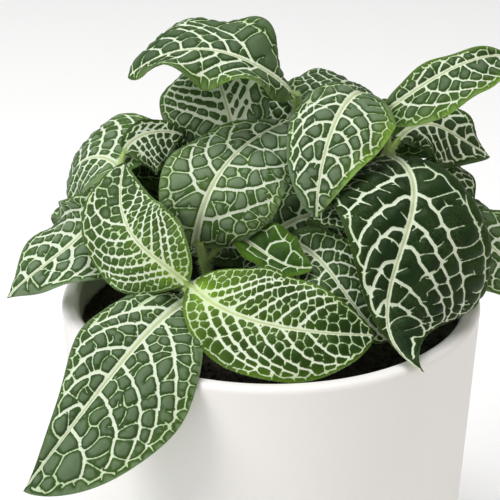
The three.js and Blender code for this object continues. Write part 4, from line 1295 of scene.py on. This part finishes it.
def build_upper_leaf():
    """Dark green, with a painted sheen on the crown of each mesh, lime at some bases and white veins."""
    material, tree, shader = new_material("leaf_upper_face")
    place = tree.nodes.new("ShaderNodeTexCoord").outputs["Object"]
    vein, rib, fine, lime, shade, painted_sheen = (read_attribute(tree, name) for name in TINTS)
    plane = add_node(tree, "ShaderNodeAttribute", attribute_name="plane").outputs["Vector"]
    cells = add_grain(tree, place, 2600, 2, 0.00016)
    ragged = add_grain(tree, place, 1500, 3, 0.0)
    rough_edge = map_range(tree, ragged.outputs["Mask"], 0.3, 0.7, -0.09, 0.09)
    edge = add_node(tree, "ShaderNodeMath", {0: vein, 1: rough_edge}, operation="ADD").outputs[0]
    mask = map_range(tree, edge, -0.07, 0.07, smooth=True)
    crown = map_range(tree, vein, -0.15, -0.85, 0.0, 1.0, smooth=True)
    halo = map_range(tree, vein, -0.4, 0.0, 0.0, 0.24, smooth=True)
    patch = patchy_share(tree, place, 160, 3)
    deep = mix_colors(tree, patch, (0.003, 0.014, 0.002, 1), (0.01, 0.029, 0.005, 1))
    fresh = mix_colors(tree, patch, (0.022, 0.062, 0.008, 1), (0.045, 0.112, 0.013, 1))
    # Painted light and shade: how light the green is comes partly from each leaf's own tone and partly from
    # lightness painted in to match how lit that leaf is.
    green = mix_colors(tree, shade, deep, fresh)
    # Painted sheen: the crown of each puffed mesh is painted a paler grey-green, as light glancing off it
    # would look.
    painted_sheen = add_node(tree, "ShaderNodeMath", {0: painted_sheen, 1: crown}, operation="MULTIPLY")
    green = mix_colors(tree, painted_sheen.outputs[0], green, (0.15, 0.215, 0.125, 1))
    wanders = add_grain(tree, place, 90, 2, 0.0)
    uneven = map_range(tree, wanders.outputs["Mask"], 0.35, 0.65, 0.6, 1.2)
    # Lime: partly the leaf's own lime-green, partly a painted glow of light shining through the thin blade
    # at its base and margins.
    lime_share = add_node(tree, "ShaderNodeMath", {0: lime, 1: uneven},
                          operation="MULTIPLY", use_clamp=True)
    green = mix_colors(tree, lime_share.outputs[0], green, (0.205, 0.4, 0.012, 1))
    threads = add_node(tree, "ShaderNodeTexVoronoi", {"Vector": plane, "Scale": 0.75},
                       feature="DISTANCE_TO_EDGE", voronoi_dimensions="2D").outputs["Distance"]
    thread = map_range(tree, threads, 0.1, 0.02, 0.0, 0.07, smooth=True)
    seen = map_range(tree, wanders.outputs["Mask"], 0.45, 0.6)
    thread = add_node(tree, "ShaderNodeMath", {0: thread, 1: seen}, operation="MULTIPLY").outputs[0]
    green = mix_colors(tree, thread, green, (0.3, 0.42, 0.16, 1))
    green = mix_colors(tree, halo, green, (0.12, 0.22, 0.05, 1))
    pale = mix_colors(tree, map_range(tree, rib, 0.45, 0.8), (0.66, 0.735, 0.58, 1), (0.46, 0.53, 0.28, 1))
    pale = mix_colors(tree, map_range(tree, fine, 0.2, 1.0, 0.0, 0.6), pale, (0.4, 0.55, 0.26, 1))
    pale = mix_colors(tree, map_range(tree, lime, 0.0, 1.0, 0.0, 0.5), pale, (0.56, 0.72, 0.25, 1))
    color = mix_colors(tree, mask, green, pale)
    tree.links.new(color, shader.inputs["Base Color"])
    rough = map_range(tree, mask, 0, 1, 0.38, 0.55)
    tree.links.new(rough, shader.inputs["Roughness"])
    add_bump(tree, shader, 0.6, cells)
    shader.inputs["Specular IOR Level"].default_value = 0.1
    shader.inputs["Sheen Weight"].default_value = 0.01
    shader.inputs["Sheen Roughness"].default_value = 0.5
    return material


def build_under_leaf():
    """Fresh pale green, a little lighter along the main veins."""
    material, tree, shader = new_material("leaf_underside")
    place = tree.nodes.new("ShaderNodeTexCoord").outputs["Object"]
    vein = read_attribute(tree, "vein")
    cells = add_grain(tree, place, 1800, 2, 0.00015)
    mask = map_range(tree, vein, -0.4, 0.3, smooth=True)
    patch = patchy_share(tree, place, 200, 3)
    green = mix_colors(tree, patch, (0.085, 0.19, 0.02, 1), (0.12, 0.25, 0.035, 1))
    green = mix_colors(tree, mask, green, (0.3, 0.44, 0.14, 1))
    tree.links.new(green, shader.inputs["Base Color"])
    add_bump(tree, shader, 0.6, cells)
    shader.inputs["Roughness"].default_value = 0.6
    return material


def build_stem_skin():
    """Soft pale green, uneven as young stems are."""
    material, tree, shader = new_material("stem_skin")
    place = tree.nodes.new("ShaderNodeTexCoord").outputs["Object"]
    cells = add_grain(tree, place, 1600, 3, 0.0002)
    patch = patchy_share(tree, place, 300, 3)
    green = mix_colors(tree, patch, (0.27, 0.46, 0.07, 1), (0.44, 0.6, 0.18, 1))
    tree.links.new(green, shader.inputs["Base Color"])
    add_bump(tree, shader, 0.6, cells)
    shader.inputs["Roughness"].default_value = 0.6
    return material


leaf_materials = [build_upper_leaf(), build_under_leaf(), build_stem_skin()]
for plan in LEAFY_STEMS:
    mesh = leafy_stem_mesh(plan)
    for material in leaf_materials:
        mesh.materials.append(material)
    node = f"leafy_stem_{plan['name']}"
    add_piece(f"{node}_detailed", mesh, "foliage", node)

# Hairs. Stems and stalks are covered with short pale hairs, and the margins of the leaves
# carry a fringe of still shorter ones. Each is a slender spike rooted in the skin.


def build_hair(length, radius):
    """A spike with three sides along +Z."""
    places = [(radius * math.cos(a), radius * math.sin(a), -0.1) for a in (0, 2.094, 4.189)]
    places.append((0.2 * length, 0, length))
    hull = bpy.data.meshes.new("hair")
    hull.from_pydata([tuple(value * MM for value in place) for place in places], [],
                     [(0, 1, 3), (1, 2, 3), (2, 0, 3), (0, 2, 1)])
    return bpy.data.objects.new("hair", hull)


def build_hair_material():
    """Pale hairs, some whiter and some greener."""
    material, tree, shader = new_material("pale_hairs")
    place = tree.nodes.new("ShaderNodeTexCoord").outputs["Object"]
    share = patchy_share(tree, place, 500, 2)
    tree.links.new(mix_colors(tree, share, (0.36, 0.46, 0.24, 1), (0.62, 0.68, 0.52, 1)),
                   shader.inputs["Base Color"])
    shader.inputs["Roughness"].default_value = 0.5
    return material


# Name; length and radius of a hair; hairs on a square metre; seed.
HAIR_SIZES = (
    ("stalk_hairs", 1.7, 0.075, 3e6, 21),
    ("margin_hairs", 0.8, 0.055, 1.8e7, 22),
)
hair_material = build_hair_material()
for name, length, radius, density, seed in HAIR_SIZES:
    corners = np.concatenate(hairy[name]).reshape(-1, 3) * MM
    skin = bpy.data.meshes.new(f"{name}_skin")
    skin.from_pydata(corners.tolist(), [], np.arange(len(corners)).reshape(-1, 3).tolist())
    hair = build_hair(length, radius)
    tree = scatter_tree(name, hair, hair_material, align=True)
    mesh = scattered_mesh(name, skin, tree, Density=density, Smallest=0.45, Largest=1.0,
                          Tilt=0.5, Seed=seed)
    add_piece(name, mesh, "foliage")
    bpy.data.objects.remove(hair)

# Floor, light and camera. A plain pale floor, large soft lights above and at the left,
# and a long lens that looks down at the plant.

CAMERA_AIM = (-6, 0, 121)
CAMERA_DISTANCE = 500
CAMERA_ELEVATION = 23.7
CAMERA_LENS = 126.3

floor_mesh = bpy.data.meshes.new("floor")
floor_mesh.from_pydata([(-6, -6, 0), (6, -6, 0), (6, 6, 0), (-6, 6, 0)], [], [(0, 1, 2, 3)])
floor = bpy.data.objects.new("floor", floor_mesh)
bpy.context.scene.collection.objects.link(floor)
floor_material, _, floor_shader = new_material("pale_floor")
floor_shader.inputs["Base Color"].default_value = (0.97, 0.97, 0.97, 1)
floor_shader.inputs["Roughness"].default_value = 0.9
floor_mesh.materials.append(floor_material)


def add_light(name, place, size, power, color):
    """A round soft light that faces the plant."""
    lamp = bpy.data.lights.new(name, "AREA")
    lamp.shape = "DISK"
    lamp.size = size
    lamp.energy = power
    lamp.color = color
    holder = bpy.data.objects.new(name, lamp)
    holder.location = place
    aim = Vector((0, 0, 0.12)) - Vector(place)
    holder.rotation_euler = aim.to_track_quat("-Z", "Y").to_euler()
    bpy.context.scene.collection.objects.link(holder)


add_light("window", (-1.1, -0.6, 0.9), 0.8, 10.5, (1, 0.99, 0.98))
add_light("ceiling", (-0.1, 0.1, 1.4), 1.0, 12, (1, 1, 1))
add_light("fill", (1.1, -0.8, 0.5), 0.9, 2.5, (1, 0.82, 0.62))

world = bpy.data.worlds.new("soft_room")
bpy.context.scene.world = world
world.use_nodes = True
world.node_tree.nodes["Background"].inputs["Color"].default_value = (1, 1, 1, 1)
world.node_tree.nodes["Background"].inputs["Strength"].default_value = 0.36
bpy.context.scene.view_settings.view_transform = "Standard"

camera_data = bpy.data.cameras.new("camera")
camera_data.lens = CAMERA_LENS
camera_data.sensor_width = 36
camera_data.clip_start = 0.01
camera_data.clip_end = 50
camera = bpy.data.objects.new("camera", camera_data)
elevation = math.radians(CAMERA_ELEVATION)
aim = Vector(CAMERA_AIM) * MM
away = Vector((0, -math.cos(elevation), math.sin(elevation))) * CAMERA_DISTANCE * MM
camera.location = aim + away
camera.rotation_euler = (-away).to_track_quat("-Z", "Y").to_euler()
bpy.context.scene.collection.objects.link(camera)
bpy.context.scene.camera = camera
